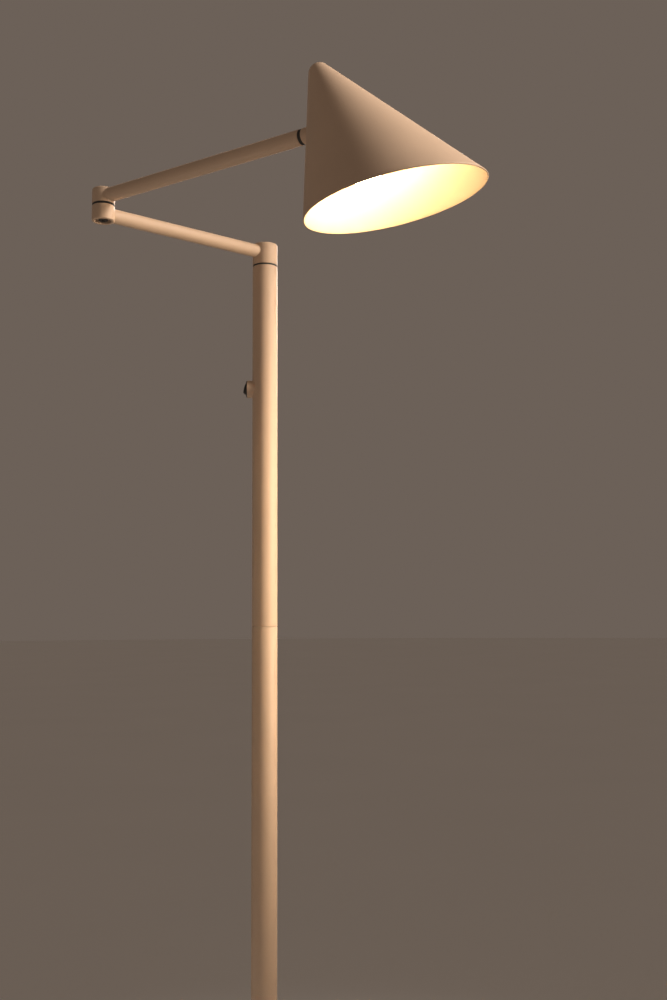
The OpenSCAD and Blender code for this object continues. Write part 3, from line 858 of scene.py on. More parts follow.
def joined(*shapes: Shape) -> Shape:
    """Return the shapes as one.

    Args:
        shapes: Shapes, which are freed.

    Returns:
        The whole.
    """
    whole = bmesh.new()
    for shape in shapes:
        part = bpy.data.meshes.new("part")
        shape.to_mesh(part)
        shape.free()
        whole.from_mesh(part)
        bpy.data.meshes.remove(part)
    return whole


def moved(shape: Shape, place: Matrix) -> Shape:
    """Return the shape after a move."""
    shape.transform(place)
    return shape


def screw_nut(across_flats: float, hole_radius: float, height: float) -> Shape:
    """Return a hexagon nut with chamfered corners and a countersunk hole, standing on z = 0.

    Args:
        across_flats: Distance between two flats.
        hole_radius: Radius of the hole.
        height: Height of the nut.

    Returns:
        The nut.
    """
    face_radius = across_flats / 2 * 0.96
    sink = hole_radius * 0.12
    return lathe([
        (hole_radius, sink), (hole_radius + sink, 0.0), (face_radius, 0.0),
        hexagon(across_flats, 0.0, -HEXAGON_SLOPE), hexagon(across_flats, height, HEXAGON_SLOPE),
        (face_radius, height), (hole_radius + sink, height), (hole_radius, height - sink),
    ], sides=HEAD_SIDES)


def fillet_rings(radius: float, fillet: float, sunk: float) -> list[Point]:
    """Return the rings of a fillet where a tube meets a wall.

    Args:
        radius: Radius of the tube.
        fillet: Radius of the fillet.
        sunk: How deep its foot goes into the wall.

    Returns:
        Radius and rise of each ring, from the foot up.
    """
    rings = []
    for step in range(ARC_STEPS + 1):
        swing = QUARTER_TURN * (1 - step / ARC_STEPS)
        rise = fillet * (1 - math.sin(swing)) - sunk * (step == 0)
        rings.append((radius + fillet * (1 - math.cos(swing)), rise))
    return rings


# Finished pieces


def loose_object(name: str, shape: Shape) -> bpy.types.Object:
    """Return an object in the scene that holds a shape.

    Args:
        name: Name of the object and its mesh.
        shape: The shape, which is freed.

    Returns:
        The object.
    """
    mesh = bpy.data.meshes.new(name)
    shape.to_mesh(mesh)
    shape.free()
    made = bpy.data.objects.new(name, mesh)
    bpy.context.scene.collection.objects.link(made)
    bpy.context.view_layer.update()
    return made


def plain_mesh(piece: bpy.types.Object) -> bpy.types.Mesh:
    """Return the piece's mesh with its modifiers applied."""
    return bpy.data.meshes.new_from_object(piece.evaluated_get(bpy.context.evaluated_depsgraph_get()))


def discard(piece: bpy.types.Object) -> None:
    """Remove an object and its mesh."""
    mesh = piece.data
    bpy.data.objects.remove(piece)
    bpy.data.meshes.remove(mesh)


def drilled(shape: Shape, *drills: Shape) -> Shape:
    """Return the shape with holes in it.

    Args:
        shape: Closed shape to cut, which is freed.
        drills: Closed shapes that cut it, which are freed.

    Returns:
        The cut shape.
    """
    blank = loose_object("blank", shape)
    for drill in drills:
        bit = loose_object("bit", drill)
        cut = blank.modifiers.new("cut", "BOOLEAN")
        cut.operation = "DIFFERENCE"
        cut.solver = "EXACT"
        cut.object = bit
        mesh = plain_mesh(blank)
        blank.modifiers.clear()
        old, blank.data = blank.data, mesh
        bpy.data.meshes.remove(old)
        discard(bit)
    whole = bmesh.new()
    whole.from_mesh(blank.data)
    discard(blank)
    return whole


def mark_edges(shape: Shape) -> None:
    """Store on each point how strongly the surface turns there, as the attribute "edge"."""
    layer = shape.verts.layers.float.new("edge")
    for corner in shape.verts:
        turn = max((edge.calc_face_angle(0.0) for edge in corner.link_edges if edge.is_convex), default=0.0)
        corner[layer] = min(1.0, max(0.0, (turn - WORN_FROM) / (WORN_FULL - WORN_FROM)))


@dataclass(frozen=True)
class Piece:
    """A shape with all that it needs to become a finished piece.

    Its place is the frame that the shape is drawn in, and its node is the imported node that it
    stands for.
    """

    name: str
    node: str
    body: Body
    shape: Shape
    finish: Finish = SAND_PAINT
    place: Matrix | None = None

    def build(self) -> None:
        """Make the piece."""
        shape = self.shape
        if self.place is not None:
            shape.transform(self.place)
        bmesh.ops.remove_doubles(shape, verts=shape.verts, dist=WELD_DISTANCE)
        mark_edges(shape)
        piece = loose_object(self.name, shape)
        mesh = piece.data
        mesh.shade_smooth()
        mesh.set_sharp_from_angle(angle=SHARP_ANGLE)
        mesh.materials.clear()
        mesh.materials.append(self.finish.material())
        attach(piece, self.body.value)
        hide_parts(self.node)
        LOG.info("%s: %d faces, rides on %s", self.name, len(mesh.polygons), self.body.value)


class SubAssembly:
    """Group of pieces that are made one after the other."""

    def pieces(self) -> Iterator[Piece]:
        """Give the pieces in order."""
        raise NotImplementedError

    def build(self) -> None:
        """Make every piece."""
        for piece in self.pieces():
            piece.build()
        LOG.info("%s done", type(self).__name__)


# Shapes that follow a rule, made by node trees

SheetRule = Callable[[Wire, Wire], Sequence[Wire | float]]


class Pattern:
    """A geometry tree with named inputs, and the plain mesh that it makes."""

    def __init__(self, name: str) -> None:
        """Make an empty tree of that name with one output."""
        self.name = name
        self.tree = bpy.data.node_groups.new(name, "GeometryNodeTree")
        self.graph = Graph(self.tree)
        self.tree.interface.new_socket("Geometry", in_out="OUTPUT", socket_type="NodeSocketGeometry")
        self.entry = self.graph.node("NodeGroupInput")
        self.values: dict[str, float | int] = {}

    def size(self, name: str, value: float, kind: str = "NodeSocketFloat") -> Wire:
        """Add a named input.

        Args:
            name: Name of the input.
            value: Its value on this lamp.
            kind: Type of its socket.

        Returns:
            The input.
        """
        socket = self.tree.interface.new_socket(name, in_out="INPUT", socket_type=kind)
        self.values[socket.identifier] = value
        return self.entry[name]

    def sheet(self, around: int, along: int, rule: SheetRule) -> Wire:
        """Return a sheet of quads laid out by a rule.

        Args:
            around: Points across the first direction.
            along: Points across the second direction.
            rule: Gives x, y and z for two shares from 0 to 1.

        Returns:
            The sheet.
        """
        graph = self.graph
        sizes = {"Size X": 1.0, "Size Y": 1.0, "Vertices X": around, "Vertices Y": along}
        grid = graph.node("GeometryNodeMeshGrid", None, sizes)
        spot = graph.node("ShaderNodeSeparateXYZ", None, {0: graph.node("GeometryNodeInputPosition")[0]})
        point = rule(spot["X"] + 0.5, spot["Y"] + 0.5)
        laid = graph.node("ShaderNodeCombineXYZ", None, dict(enumerate(point)))
        return graph.node("GeometryNodeSetPosition", None, {"Geometry": grid["Mesh"], "Position": laid[0]})[0]

    def shape(self, parts: Sequence[Wire], finish: Finish) -> Shape:
        """Join the parts, weld their seams, end the tree and run it.

        Args:
            parts: Meshes or instances.
            finish: Finish of the result.

        Returns:
            The result as a plain shape with its faces outwards.
        """
        graph = self.graph
        together = graph.node("GeometryNodeJoinGeometry")
        for part in reversed(parts):
            self.tree.links.new(part.socket, together.node.inputs[0])
        real = graph.node("GeometryNodeRealizeInstances", None, {"Geometry": together[0]})
        weld = {"Geometry": real[0], "Distance": WELD_DISTANCE}
        welded = graph.node("GeometryNodeMergeByDistance", None, weld)
        final = graph.node("GeometryNodeRealizeInstances", None, {"Geometry": welded[0]})
        paint = {"Geometry": final[0], "Material": finish.material()}
        dressed = graph.node("GeometryNodeSetMaterial", None, paint)
        graph.node("NodeGroupOutput", None, {"Geometry": dressed[0]})

        holder = loose_object(self.name, bmesh.new())
        modifier = holder.modifiers.new(self.name, "NODES")
        modifier.node_group = self.tree
        for identifier, value in self.values.items():
            modifier[identifier] = value
        mesh = plain_mesh(holder)
        holder.modifiers.remove(modifier)
        discard(holder)
        result = bmesh.new()
        result.from_mesh(mesh)
        bpy.data.meshes.remove(mesh)
        bmesh.ops.recalc_face_normals(result, faces=result.faces)
        return result


@dataclass(frozen=True)
class ObliqueCone:
    """Thin cone with a rounded tip, its mouth cut by a sloping plane and its rim rounded."""

    half_angle: float
    near_side: float
    rim_slope: float
    tip_radius: float
    wall: float
    around: int = 257
    along: int = 33
    lip_steps: int = 9

    def shape(self, finish: Finish) -> Shape:
        """Return the cone in its own frame.

        Args:
            finish: Finish of the cone.

        Returns:
            The shape.
        """
        pattern = Pattern("oblique_cone")
        graph = pattern.graph
        angle = pattern.size("Half Angle", math.radians(self.half_angle))
        near = pattern.size("Near Side", self.near_side)
        slope = pattern.size("Rim Slope", math.tan(math.radians(self.rim_slope)))
        tip = pattern.size("Tip Radius", self.tip_radius)
        wall = pattern.size("Wall", self.wall)
        sine, cosine = graph.maths("SINE", angle), graph.maths("COSINE", angle)
        joint_length = tip * cosine / sine

        def on_side(share: Wire, length: Wire, depth: Wire | float) -> Sequence[Wire]:
            """Return the point at a length from the virtual tip and a depth under the paint."""
            return graph.polar(share, length * sine - depth * cosine, length * cosine + depth * sine)

        def side_length(share: Wire) -> Wire:
            """Return how long the side is at that share of a turn, before its rounded rim."""
            across = graph.maths("COSINE", share * FULL_TURN) * sine * slope
            return near * (cosine + sine * slope) / (cosine + across) - wall / 2

        def side(depth: Wire | float) -> SheetRule:
            """Return the rule of the straight side."""
            return lambda share, part: on_side(
                share, joint_length + (side_length(share) - joint_length) * part, depth
            )

        def cap(depth: Wire | float) -> SheetRule:
            """Return the rule of the rounded tip."""

            def rule(share: Wire, part: Wire) -> Sequence[Wire]:
                """Return the point at that share of a turn and part of the tip."""
                swing = part * (QUARTER_TURN - angle)
                height = tip / sine - graph.maths("COSINE", swing) * (tip - depth)
                return graph.polar(share, graph.maths("SINE", swing) * (tip - depth), height)

            return rule

        def lip(share: Wire, part: Wire) -> Sequence[Wire]:
            """Return the point at that share of a turn and part of the rounded rim."""
            swing = part * math.pi
            ahead = graph.maths("SINE", swing) * wall / 2
            depth = (1 - graph.maths("COSINE", swing)) * wall / 2
            return on_side(share, side_length(share) + ahead, depth)

        rules = ((self.along, cap(0.0)), (self.along, side(0.0)), (self.lip_steps, lip))
        rules += ((self.along, side(wall)), (self.along, cap(wall)))
        return pattern.shape([pattern.sheet(self.around, along, rule) for along, rule in rules], finish)


@dataclass(frozen=True)
class ThreadedSleeve:
    """Sleeve about +Z whose outside is a rolled thread that runs out at both ends."""

    radius: float
    length: float
    depth: float
    wall: float
    pitch: float = SCREW_PITCH
    around: int = 65
    rows_per_turn: int = 8
    runout: float = 0.6

    def shape(self, finish: Finish) -> Shape:
        """Return the sleeve, standing on z = 0.

        Args:
            finish: Finish of the sleeve.

        Returns:
            The shape.
        """
        pattern = Pattern("threaded_sleeve")
        graph = pattern.graph
        radius = pattern.size("Radius", self.radius)
        length = pattern.size("Length", self.length)
        pitch = pattern.size("Pitch", self.pitch)
        depth = pattern.size("Depth", self.depth)
        wall = pattern.size("Wall", self.wall)
        rows = max(3, round(self.length / self.pitch * self.rows_per_turn)) + 1

        def wave(share: Wire, part: Wire) -> Wire:
            """Return how deep the thread is there."""
            turns = part * length / pitch - share
            from_end = graph.maths("MINIMUM", part, 1 - part) * length / pitch
            fade = graph.spread(from_end, 0.0, self.runout, 0.0, 1.0)
            return (1 - graph.maths("COSINE", turns * FULL_TURN)) * depth / 2 * fade

        def skin(inset: Wire | float) -> SheetRule:
            """Return the rule of the outer or the inner side."""
            return lambda share, part: graph.polar(share, radius - wave(share, part) - inset, part * length)

        def rim(height: Wire | float) -> SheetRule:
            """Return the rule of a flat end."""
            return lambda share, part: graph.polar(share, radius - wall * part, height)

        rules = ((rows, skin(0.0)), (rows, skin(wall)), (2, rim(0.0)), (2, rim(length)))
        return pattern.shape([pattern.sheet(self.around, along, rule) for along, rule in rules], finish)


@dataclass(frozen=True)
class RibRing:
    """Ring of equal upright ribs with round ends, set on a sleeve about +Z."""

    count: int
    radius: float
    bottom: float
    height: float
    thickness: float

    def shape(self, finish: Finish) -> Shape:
        """Return the ribs.

        Args:
            finish: Finish of the ribs.

        Returns:
            The shape.
        """
        pattern = Pattern("rib_ring")
        graph = pattern.graph
        count = pattern.size("Count", self.count, "NodeSocketInt")
        radius = pattern.size("Radius", self.radius)
        bottom = pattern.size("Bottom", self.bottom)
        height = pattern.size("Height", self.height)
        thickness = pattern.size("Thickness", self.thickness)
        spots = graph.node("GeometryNodeMeshCircle", None, {"Vertices": count, "Radius": radius})
        bead = graph.node("GeometryNodeMeshUVSphere", None, {"Segments": 12, "Rings": 8, "Radius": 1.0})
        sizes = dict(enumerate((thickness / 2, thickness / 2, height / 2)))
        stretch = graph.node("ShaderNodeCombineXYZ", None, sizes)
        rib = graph.node("GeometryNodeTransform", None, {"Geometry": bead["Mesh"], "Scale": stretch[0]})
        ribs = graph.node("GeometryNodeInstanceOnPoints", None, {"Points": spots[0], "Instance": rib[0]})
        lift = graph.node("ShaderNodeCombineXYZ", None, {2: bottom + height / 2})
        raised = graph.node("GeometryNodeTransform", None, {"Geometry": ribs[0], "Translation": lift[0]})
        return pattern.shape([raised[0]], finish)


# Sub-assemblies


@dataclass(frozen=True)
class Base(SubAssembly):
    """Round weighted foot: painted cover, rubber pad with round grooves, cast weight and bolt."""

    cover_edge: float = 6 * MM
    cover_wall: float = 1.5 * MM
    cover_lift: float = 1 * MM
    cover_steps: int = 10
    hole_radius: float = 5.15 * MM
    pad_hole: float = 20 * MM
    pad_radius: float = 124 * MM
    pad_thickness: float = 3 * MM
    groove_start: float = 26 * MM
    groove_depth: float = 1.2 * MM
    groove_width: float = 4 * MM
    groove_slope: float = 1 * MM
    groove_count: int = 6
    weight_edge: float = 6 * MM
    weight_foot_edge: float = 1 * MM
    pocket_radius: float = 13 * MM
    pocket_depth: float = 9 * MM
    pocket_edge: float = 0.8 * MM
    shank: float = 5 * MM
    shank_tip: float = 1 * MM
    head_flats: float = 15.6 * MM
    head_dish: float = 0.6 * MM
    dish_share: float = 0.3
    dish_rim_share: float = 0.33
    head_face_share: float = 0.47
    washer_radius: float = 12 * MM

    def pieces(self) -> Iterator[Piece]:
        """Give the pieces in order."""
        yield Piece("foot_cover", "base_cover", Body.STAND, self.cover())
        yield Piece("foot_pad", "base_pad", Body.STAND, self.pad(), BLACK_RUBBER)
        yield Piece("foot_weight", "base_weight", Body.STAND, self.weight(), IRON)
        yield Piece("foot_bolt", "base_bolt", Body.STAND, self.bolt(), BARE_STEEL)
        washer = band((self.hole_radius, self.washer_radius), span("base_washer"), [BROKEN] * 4, 3)
        yield Piece("foot_washer", "base_washer", Body.STAND, washer, BARE_STEEL)

    def cover(self) -> Shape:
        """Return the pressed cover."""
        radius, top = side_of("base_cover"), span("base_cover")[1]
        wall, edge = self.cover_wall, self.cover_edge
        return hollow([
            (self.hole_radius, top, FINE), (radius, top, edge),
            (radius, self.cover_lift, SOFT), (radius - wall, self.cover_lift, BROKEN),
            (radius - wall, top - wall, edge - wall), (self.hole_radius, top - wall, FINE),
        ], 2 * SIDES, self.cover_steps)

    def pad(self) -> Shape:
        """Return the rubber pad, whose underside has round grooves."""
        outline: list[Corner] = [(self.pad_hole, self.pad_thickness, 0.0), (self.pad_hole, 0.0, EASED)]
        step = (self.pad_radius - self.groove_start) / self.groove_count
        width, slope = self.groove_width, self.groove_slope
        for index in range(self.groove_count):
            inner = self.groove_start + index * step
            outline += [
                (inner, 0.0, BROKEN), (inner + slope, self.groove_depth, BROKEN),
                (inner + width - slope, self.groove_depth, BROKEN), (inner + width, 0.0, BROKEN),
            ]
        outline += [(self.pad_radius, 0.0, ROUNDED), (self.pad_radius, self.pad_thickness, BROKEN)]
        return hollow(outline, 2 * SIDES, 3)

    def weight(self) -> Shape:
        """Return the cast weight with the bolt's pocket in its underside."""
        radius = side_of("base_weight")
        low, high = span("base_weight")
        pocket_top = low + self.pocket_depth
        return hollow([
            (self.hole_radius, high, 0.0), (radius, high, self.weight_edge),
            (radius, low, self.weight_foot_edge), (self.pocket_radius, low, self.pocket_edge),
            (self.pocket_radius, pocket_top, ROUNDED), (self.hole_radius, pocket_top, 0.0),
        ])

    def bolt(self) -> Shape:
        """Return the bolt from below, with a dished and chamfered hexagon head."""
        low, high = span("base_bolt")
        seat = span("base_washer")[0]
        shank, flats, dish = self.shank, self.head_flats, low + self.head_dish
        return lathe([
            (0.0, dish), (flats * self.dish_share, dish),
            (flats * self.dish_rim_share, low), (flats * self.head_face_share, low),
            hexagon(flats, low + FINE, -HEXAGON_SLOPE), hexagon(flats, seat),
            (shank, seat), (shank, high - self.shank_tip), (shank - self.shank_tip, high), (0.0, high),
        ], closed=False, sides=HEAD_SIDES)


@dataclass(frozen=True)
class Pole(SubAssembly):
    """Three screwed tubes with fine bevels at their seams, the cord bush and the top's washer."""

    wall: float = 1.2 * MM
    bevel: float = 0.4 * MM
    barrel_hole: float = 8.45 * MM
    cord_hole: float = 4.25 * MM
    cord_height: float = 60.5 * MM
    drill_start: float = 5 * MM
    drill_end: float = 30 * MM
    flange: float = 5.75 * MM
    flange_lift: float = 2 * MM
    flange_shoulder: float = 1.1 * MM
    flange_slope: float = 1.6 * MM
    bush_inside: float = 2 * MM
    washer_hole: float = 5.15 * MM

    @property
    def cord_place(self) -> Matrix:
        """Frame of the cord's hole, with +Z out of the pole."""
        return at(0, 0, self.cord_height) @ turned(-90, "X")

    def pieces(self) -> Iterator[Piece]:
        """Give the pieces in order."""
        holes = {
            "lower": [self.drill(self.cord_hole, self.cord_place)],
            "middle": [],
            "upper": [self.drill(self.barrel_hole, PLACES.switch)],
        }
        radii = (POLE_RADIUS - self.wall, POLE_RADIUS)
        for level, drills in holes.items():
            node = f"pole_{level}_tube"
            tube = band(radii, span(node), (0.0, self.bevel, self.bevel, 0.0), 4)
            shape = drilled(tube, *drills) if drills else tube
            yield Piece(f"pole_painted_{level}_tube", node, Body.STAND, shape)
        yield Piece("cord_bush", "cord_grommet", Body.STAND, self.bush(), BLACK_RUBBER, self.cord_place)
        radii = (self.washer_hole, side_of("top_washer"))
        washer = band(radii, span("top_washer"), (0.0, FINE, FINE, 0.0), 3)
        yield Piece("cap_washer", "top_washer", Body.STAND, washer, BLACK_NYLON)

    def drill(self, radius: float, place: Matrix) -> Shape:
        """Return a drill through one side of the pole."""
        return moved(rod(radius, self.drill_start, self.drill_end, DRILL_SIDES), place)

    def bush(self) -> Shape:
        """Return the rubber bush of the cord's hole, its flange curved to the pole."""
        flange, reach = self.flange, POLE_RADIUS + self.flange_lift
        inner = POLE_RADIUS - self.wall - self.bush_inside
        return lathe([
            (LEAD_HOLE, inner), (self.cord_hole, inner),
            on_pole(self.cord_hole, 0.0, 0), on_pole(flange, 0.0, 0), on_pole(flange, SOFT, 0),
            on_pole(flange - SOFT, self.flange_shoulder, 0), (flange - self.flange_slope, reach),
            (LEAD_HOLE + ROUNDED, reach), (LEAD_HOLE, reach - ROUNDED),
        ], sides=FEW_SIDES)


@dataclass(frozen=True)
class Housing:
    """Upright round housing that an arm runs into."""

    radius: float
    low: float
    high: float
    top_edge: float
    low_edge: float = 0.0

    def radius_at(self, height: float) -> float:
        """Return the housing's radius at that height, less where an edge is rounded."""
        for edge, rise in ((self.top_edge, self.high - height), (self.low_edge, height - self.low)):
            if rise < edge:
                rise = max(rise, 0.0)
                return self.radius - edge + math.sqrt(edge**2 - (edge - rise) ** 2)
        return self.radius

    def reach(self, across: float, height: float) -> float:
        """Return how far from the housing's axis a line beside the arm's axis meets its surface."""
        return math.sqrt(max(self.radius_at(height) ** 2 - across**2, 0.0))


@dataclass(frozen=True)
class ArmTube:
    """Painted arm tube along +X whose ends blend into round housings."""

    radius: float = ARM_RADIUS
    wall: float = 1 * MM
    fillet: float = 0.7 * MM
    sunk: float = 0.25 * MM
    bevel: float = 0.25 * MM
    sides: int = HEAD_SIDES

    def blended(self, reach: Reach, outward: float) -> list[list[Vector]]:
        """Return the rings of an end, from inside the tube to its straight outside.

        Args:
            reach: Gives where a line at that side and height meets the housing.
            outward: 1 if the tube runs on towards +X, -1 towards -X.

        Returns:
            The rings.
        """
        sizes = [(self.radius - self.wall, -self.sunk), *fillet_rings(self.radius, self.fillet, self.sunk)]
        return [self.cut(radius, reach, ahead * outward) for radius, ahead in sizes]

    def cut(self, radius: float, reach: Reach, ahead: float = 0.0) -> list[Vector]:
        """Return a ring that follows a surface across the arm.

        Args:
            radius: Radius of the ring.
            reach: Gives where a line at that side and height meets the surface.
            ahead: How far along the arm the ring lies from the surface.

        Returns:
            The ring.
        """

        def point(angle: float) -> Vector:
            """Return the point at that angle."""
            side, up = radius * math.cos(angle), radius * math.sin(angle)
            return Vector((reach(side, up) + ahead, side, up))

        return ring(point, self.sides)

    def square(self, end: float, outward: float) -> list[list[Vector]]:
        """Return the rings of a square end with a small bevel.

        Args:
            end: Where the tube ends.
            outward: 1 if the tube ends towards +X, -1 towards -X.

        Returns:
            The rings, from the outside inwards.
        """
        sizes = [(self.radius, end - self.bevel * outward), (self.radius - self.bevel, end)]
        sizes.append((self.radius - self.wall, end))
        return [self.cut(radius, lambda side, up, x=x: x) for radius, x in sizes]


@dataclass(frozen=True)
class LowerArm(SubAssembly):
    """Cap that turns on the pole, and the lower arm up to its half of the elbow."""

    cap_flange: float = 11 * MM
    cap_roof: float = 3 * MM
    cap_edge: float = 2.5 * MM
    lead_drill: float = 20 * MM
    elbow_edge: float = 1.25 * MM
    recess: float = 8.25 * MM
    recess_depth: float = 4 * MM
    floor: float = 3 * MM
    screw_hole: float = 2.55 * MM
    washer_play: float = 0.15 * MM

    def pieces(self) -> Iterator[Piece]:
        """Give the pieces in order."""
        body = Body.LOWER_ARM
        yield Piece("pole_cap_painted", "pole_cap", body, self.cap())
        yield Piece("lower_arm_painted", "lower_arm_tube", body, self.arm(), place=PLACES.lower_arm)
        elbow = PLACES.elbow_foot
        yield Piece("elbow_lower_half", "elbow_lower_housing", body, self.elbow_cup(), place=elbow)
        radii = (ELBOW_CHAMBER + self.washer_play, side_of("elbow_washer") - PLACES.elbow.x)
        washer = band(radii, span("elbow_washer"), (0.0, FINE, FINE, 0.0))
        yield Piece("elbow_ring_washer", "elbow_washer", body, washer, BLACK_NYLON, elbow)

    def cap(self) -> Shape:
        """Return the cap, hollow underneath, with the lead's hole towards the arm."""
        low, high = span("pole_cap")
        roof = high - self.cap_roof
        shape = solid([
            (0.0, high, 0.0), (POLE_RADIUS, high, self.cap_edge), (POLE_RADIUS, low, BROKEN),
            (self.cap_flange, low, FINE), (self.cap_flange, roof, SOFT), (0.0, roof, 0.0),
        ])
        drill = rod(LEAD_HOLE, 0.0, self.lead_drill, PIN_SIDES)
        return drilled(shape, moved(moved(drill, turned(90, "Y")), PLACES.lower_arm))

    def arm(self) -> Shape:
        """Return the arm between the cap and the elbow."""
        level = PLACES.lower_z
        ends = [[height - level for height in span(node)] for node in ("pole_cap", "elbow_lower_housing")]
        cap = Housing(POLE_RADIUS, *ends[0], self.cap_edge)
        cup = Housing(ELBOW_RADIUS, *ends[1], self.elbow_edge, self.elbow_edge)
        tube = ArmTube()
        start = tube.blended(cap.reach, 1.0)
        stop = tube.blended(lambda side, up: PLACES.lower_length - cup.reach(side, up), -1.0)
        return skinned(start + stop[::-1], closed=True)

    def elbow_cup(self) -> Shape:
        """Return the lower half of the elbow with its screw's recess."""
        low, high = span("elbow_lower_housing")
        ceiling = low + self.recess_depth
        inside = ceiling + self.floor
        return hollow([
            (self.screw_hole, inside, 0.0), (ELBOW_CHAMBER, inside, SOFT), (ELBOW_CHAMBER, high, FINE),
            (ELBOW_RADIUS, high, self.elbow_edge), (ELBOW_RADIUS, low, self.elbow_edge),
            (self.recess, low, BROKEN), (self.recess, ceiling, BROKEN), (self.screw_hole, ceiling, 0.0),
        ])


@dataclass(frozen=True)
class UpperArm(SubAssembly):
    """Upper half of the elbow with its screw, and the upper arm up to the black ring."""

    edge: float = 2.5 * MM
    roof: float = 3.5 * MM
    post_radius: float = 4.5 * MM
    post_floor_gap: float = 7.05 * MM
    screw_hole: float = 2.52 * MM
    screw_depth: float = 14 * MM
    screw_play: float = 0.02 * MM
    lug_width: float = 2.4 * MM
    lug_reach: float = 7.75 * MM
    lug_height: float = 2 * MM
    lug_overlap: float = 1 * MM
    lug_drop: float = 0.05 * MM
    head_radius: float = 5 * MM
    head_height: float = 2.2 * MM
    head_edge: float = 0.7 * MM
    tip: float = 0.6 * MM
    socket_flats: float = 3.4 * MM
    socket_share: float = 0.85
    socket_sink: float = 0.62
    ring_radius: float = 6.95 * MM
    ring_hole: float = 4.15 * MM
    ring_play: float = 0.05 * MM

    def pieces(self) -> Iterator[Piece]:
        """Give the pieces in order."""
        body, elbow = Body.UPPER_ARM, PLACES.elbow_foot
        place = elbow @ PLACES.upper_heading
        yield Piece("elbow_upper_half", "elbow_upper_housing", body, self.elbow_cap(), place=place)
        yield Piece("elbow_clamp_screw", "elbow_screw", body, self.screw(), BLACK_STEEL, elbow)
        yield Piece("upper_arm_painted", "upper_arm_tube", body, self.arm(), place=PLACES.upper_arm)
        half = RING_THICKNESS / 2
        heights, edges = (-half, half - self.ring_play), (0.0, 0.25 * MM, 0.25 * MM, 0.0)
        shape = band((self.ring_hole, self.ring_radius), heights, edges, 3)
        yield Piece("shade_swivel_ring", "shade_ring", body, shape, BLACK_NYLON, PLACES.along_arm)

    def elbow_cap(self) -> Shape:
        """Return the upper half of the elbow with its post and stop lug."""
        high, skirt = span("elbow_upper_housing")[1], span("elbow_washer")[1]
        post = span("elbow_lower_housing")[0] + self.post_floor_gap
        roof, bottom = high - self.roof, post + self.screw_depth
        shape = solid([
            (0.0, high, 0.0), (ELBOW_RADIUS, high, self.edge), (ELBOW_RADIUS, skirt, BROKEN),
            (ELBOW_CHAMBER, skirt, FINE), (ELBOW_CHAMBER, roof, SOFT),
            (self.post_radius, roof, BROKEN), (self.post_radius, post, BROKEN),
            (self.screw_hole, post, FINE), (self.screw_hole, bottom, 0.0), (0.0, bottom, 0.0),
        ])
        low = post - self.lug_drop + self.lug_height
        top, inner = low + self.lug_height, -self.post_radius + self.lug_overlap
        lug = [(-self.lug_reach, low), (inner, low), (inner, top), (-self.lug_reach, top)]
        return joined(shape, prism(lug, self.lug_width))

    def screw(self) -> Shape:
        """Return the clamping screw, whose hexagon socket is seen from below."""
        low, high = span("elbow_screw")
        head_top, shank = low + self.head_height, self.screw_hole - self.screw_play
        flats, edge = self.socket_flats, self.head_edge
        socket_top = low + self.head_height * self.socket_share
        return lathe([
            (0.0, socket_top + SOFT), hexagon(flats, socket_top), hexagon(flats, low + FINE),
            (flats * self.socket_sink, low),
            *arc((self.head_radius - edge, low + edge), edge, -QUARTER_TURN, 0),
            (self.head_radius, head_top), (shank, head_top), (shank, high - self.tip),
            (shank - self.tip, high), (0.0, high),
        ], closed=False, sides=HEAD_SIDES)

    def arm(self) -> Shape:
        """Return the arm from the elbow to the ring."""
        low, high = (span(node)[1] - PLACES.upper_z for node in ("elbow_washer", "elbow_upper_housing"))
        housing = Housing(ELBOW_RADIUS, low, high, self.edge)
        tube = ArmTube()
        end = tube.square(PLACES.upper_length - RING_THICKNESS / 2, 1.0)
        return skinned(tube.blended(housing.reach, 1.0) + end, closed=True)


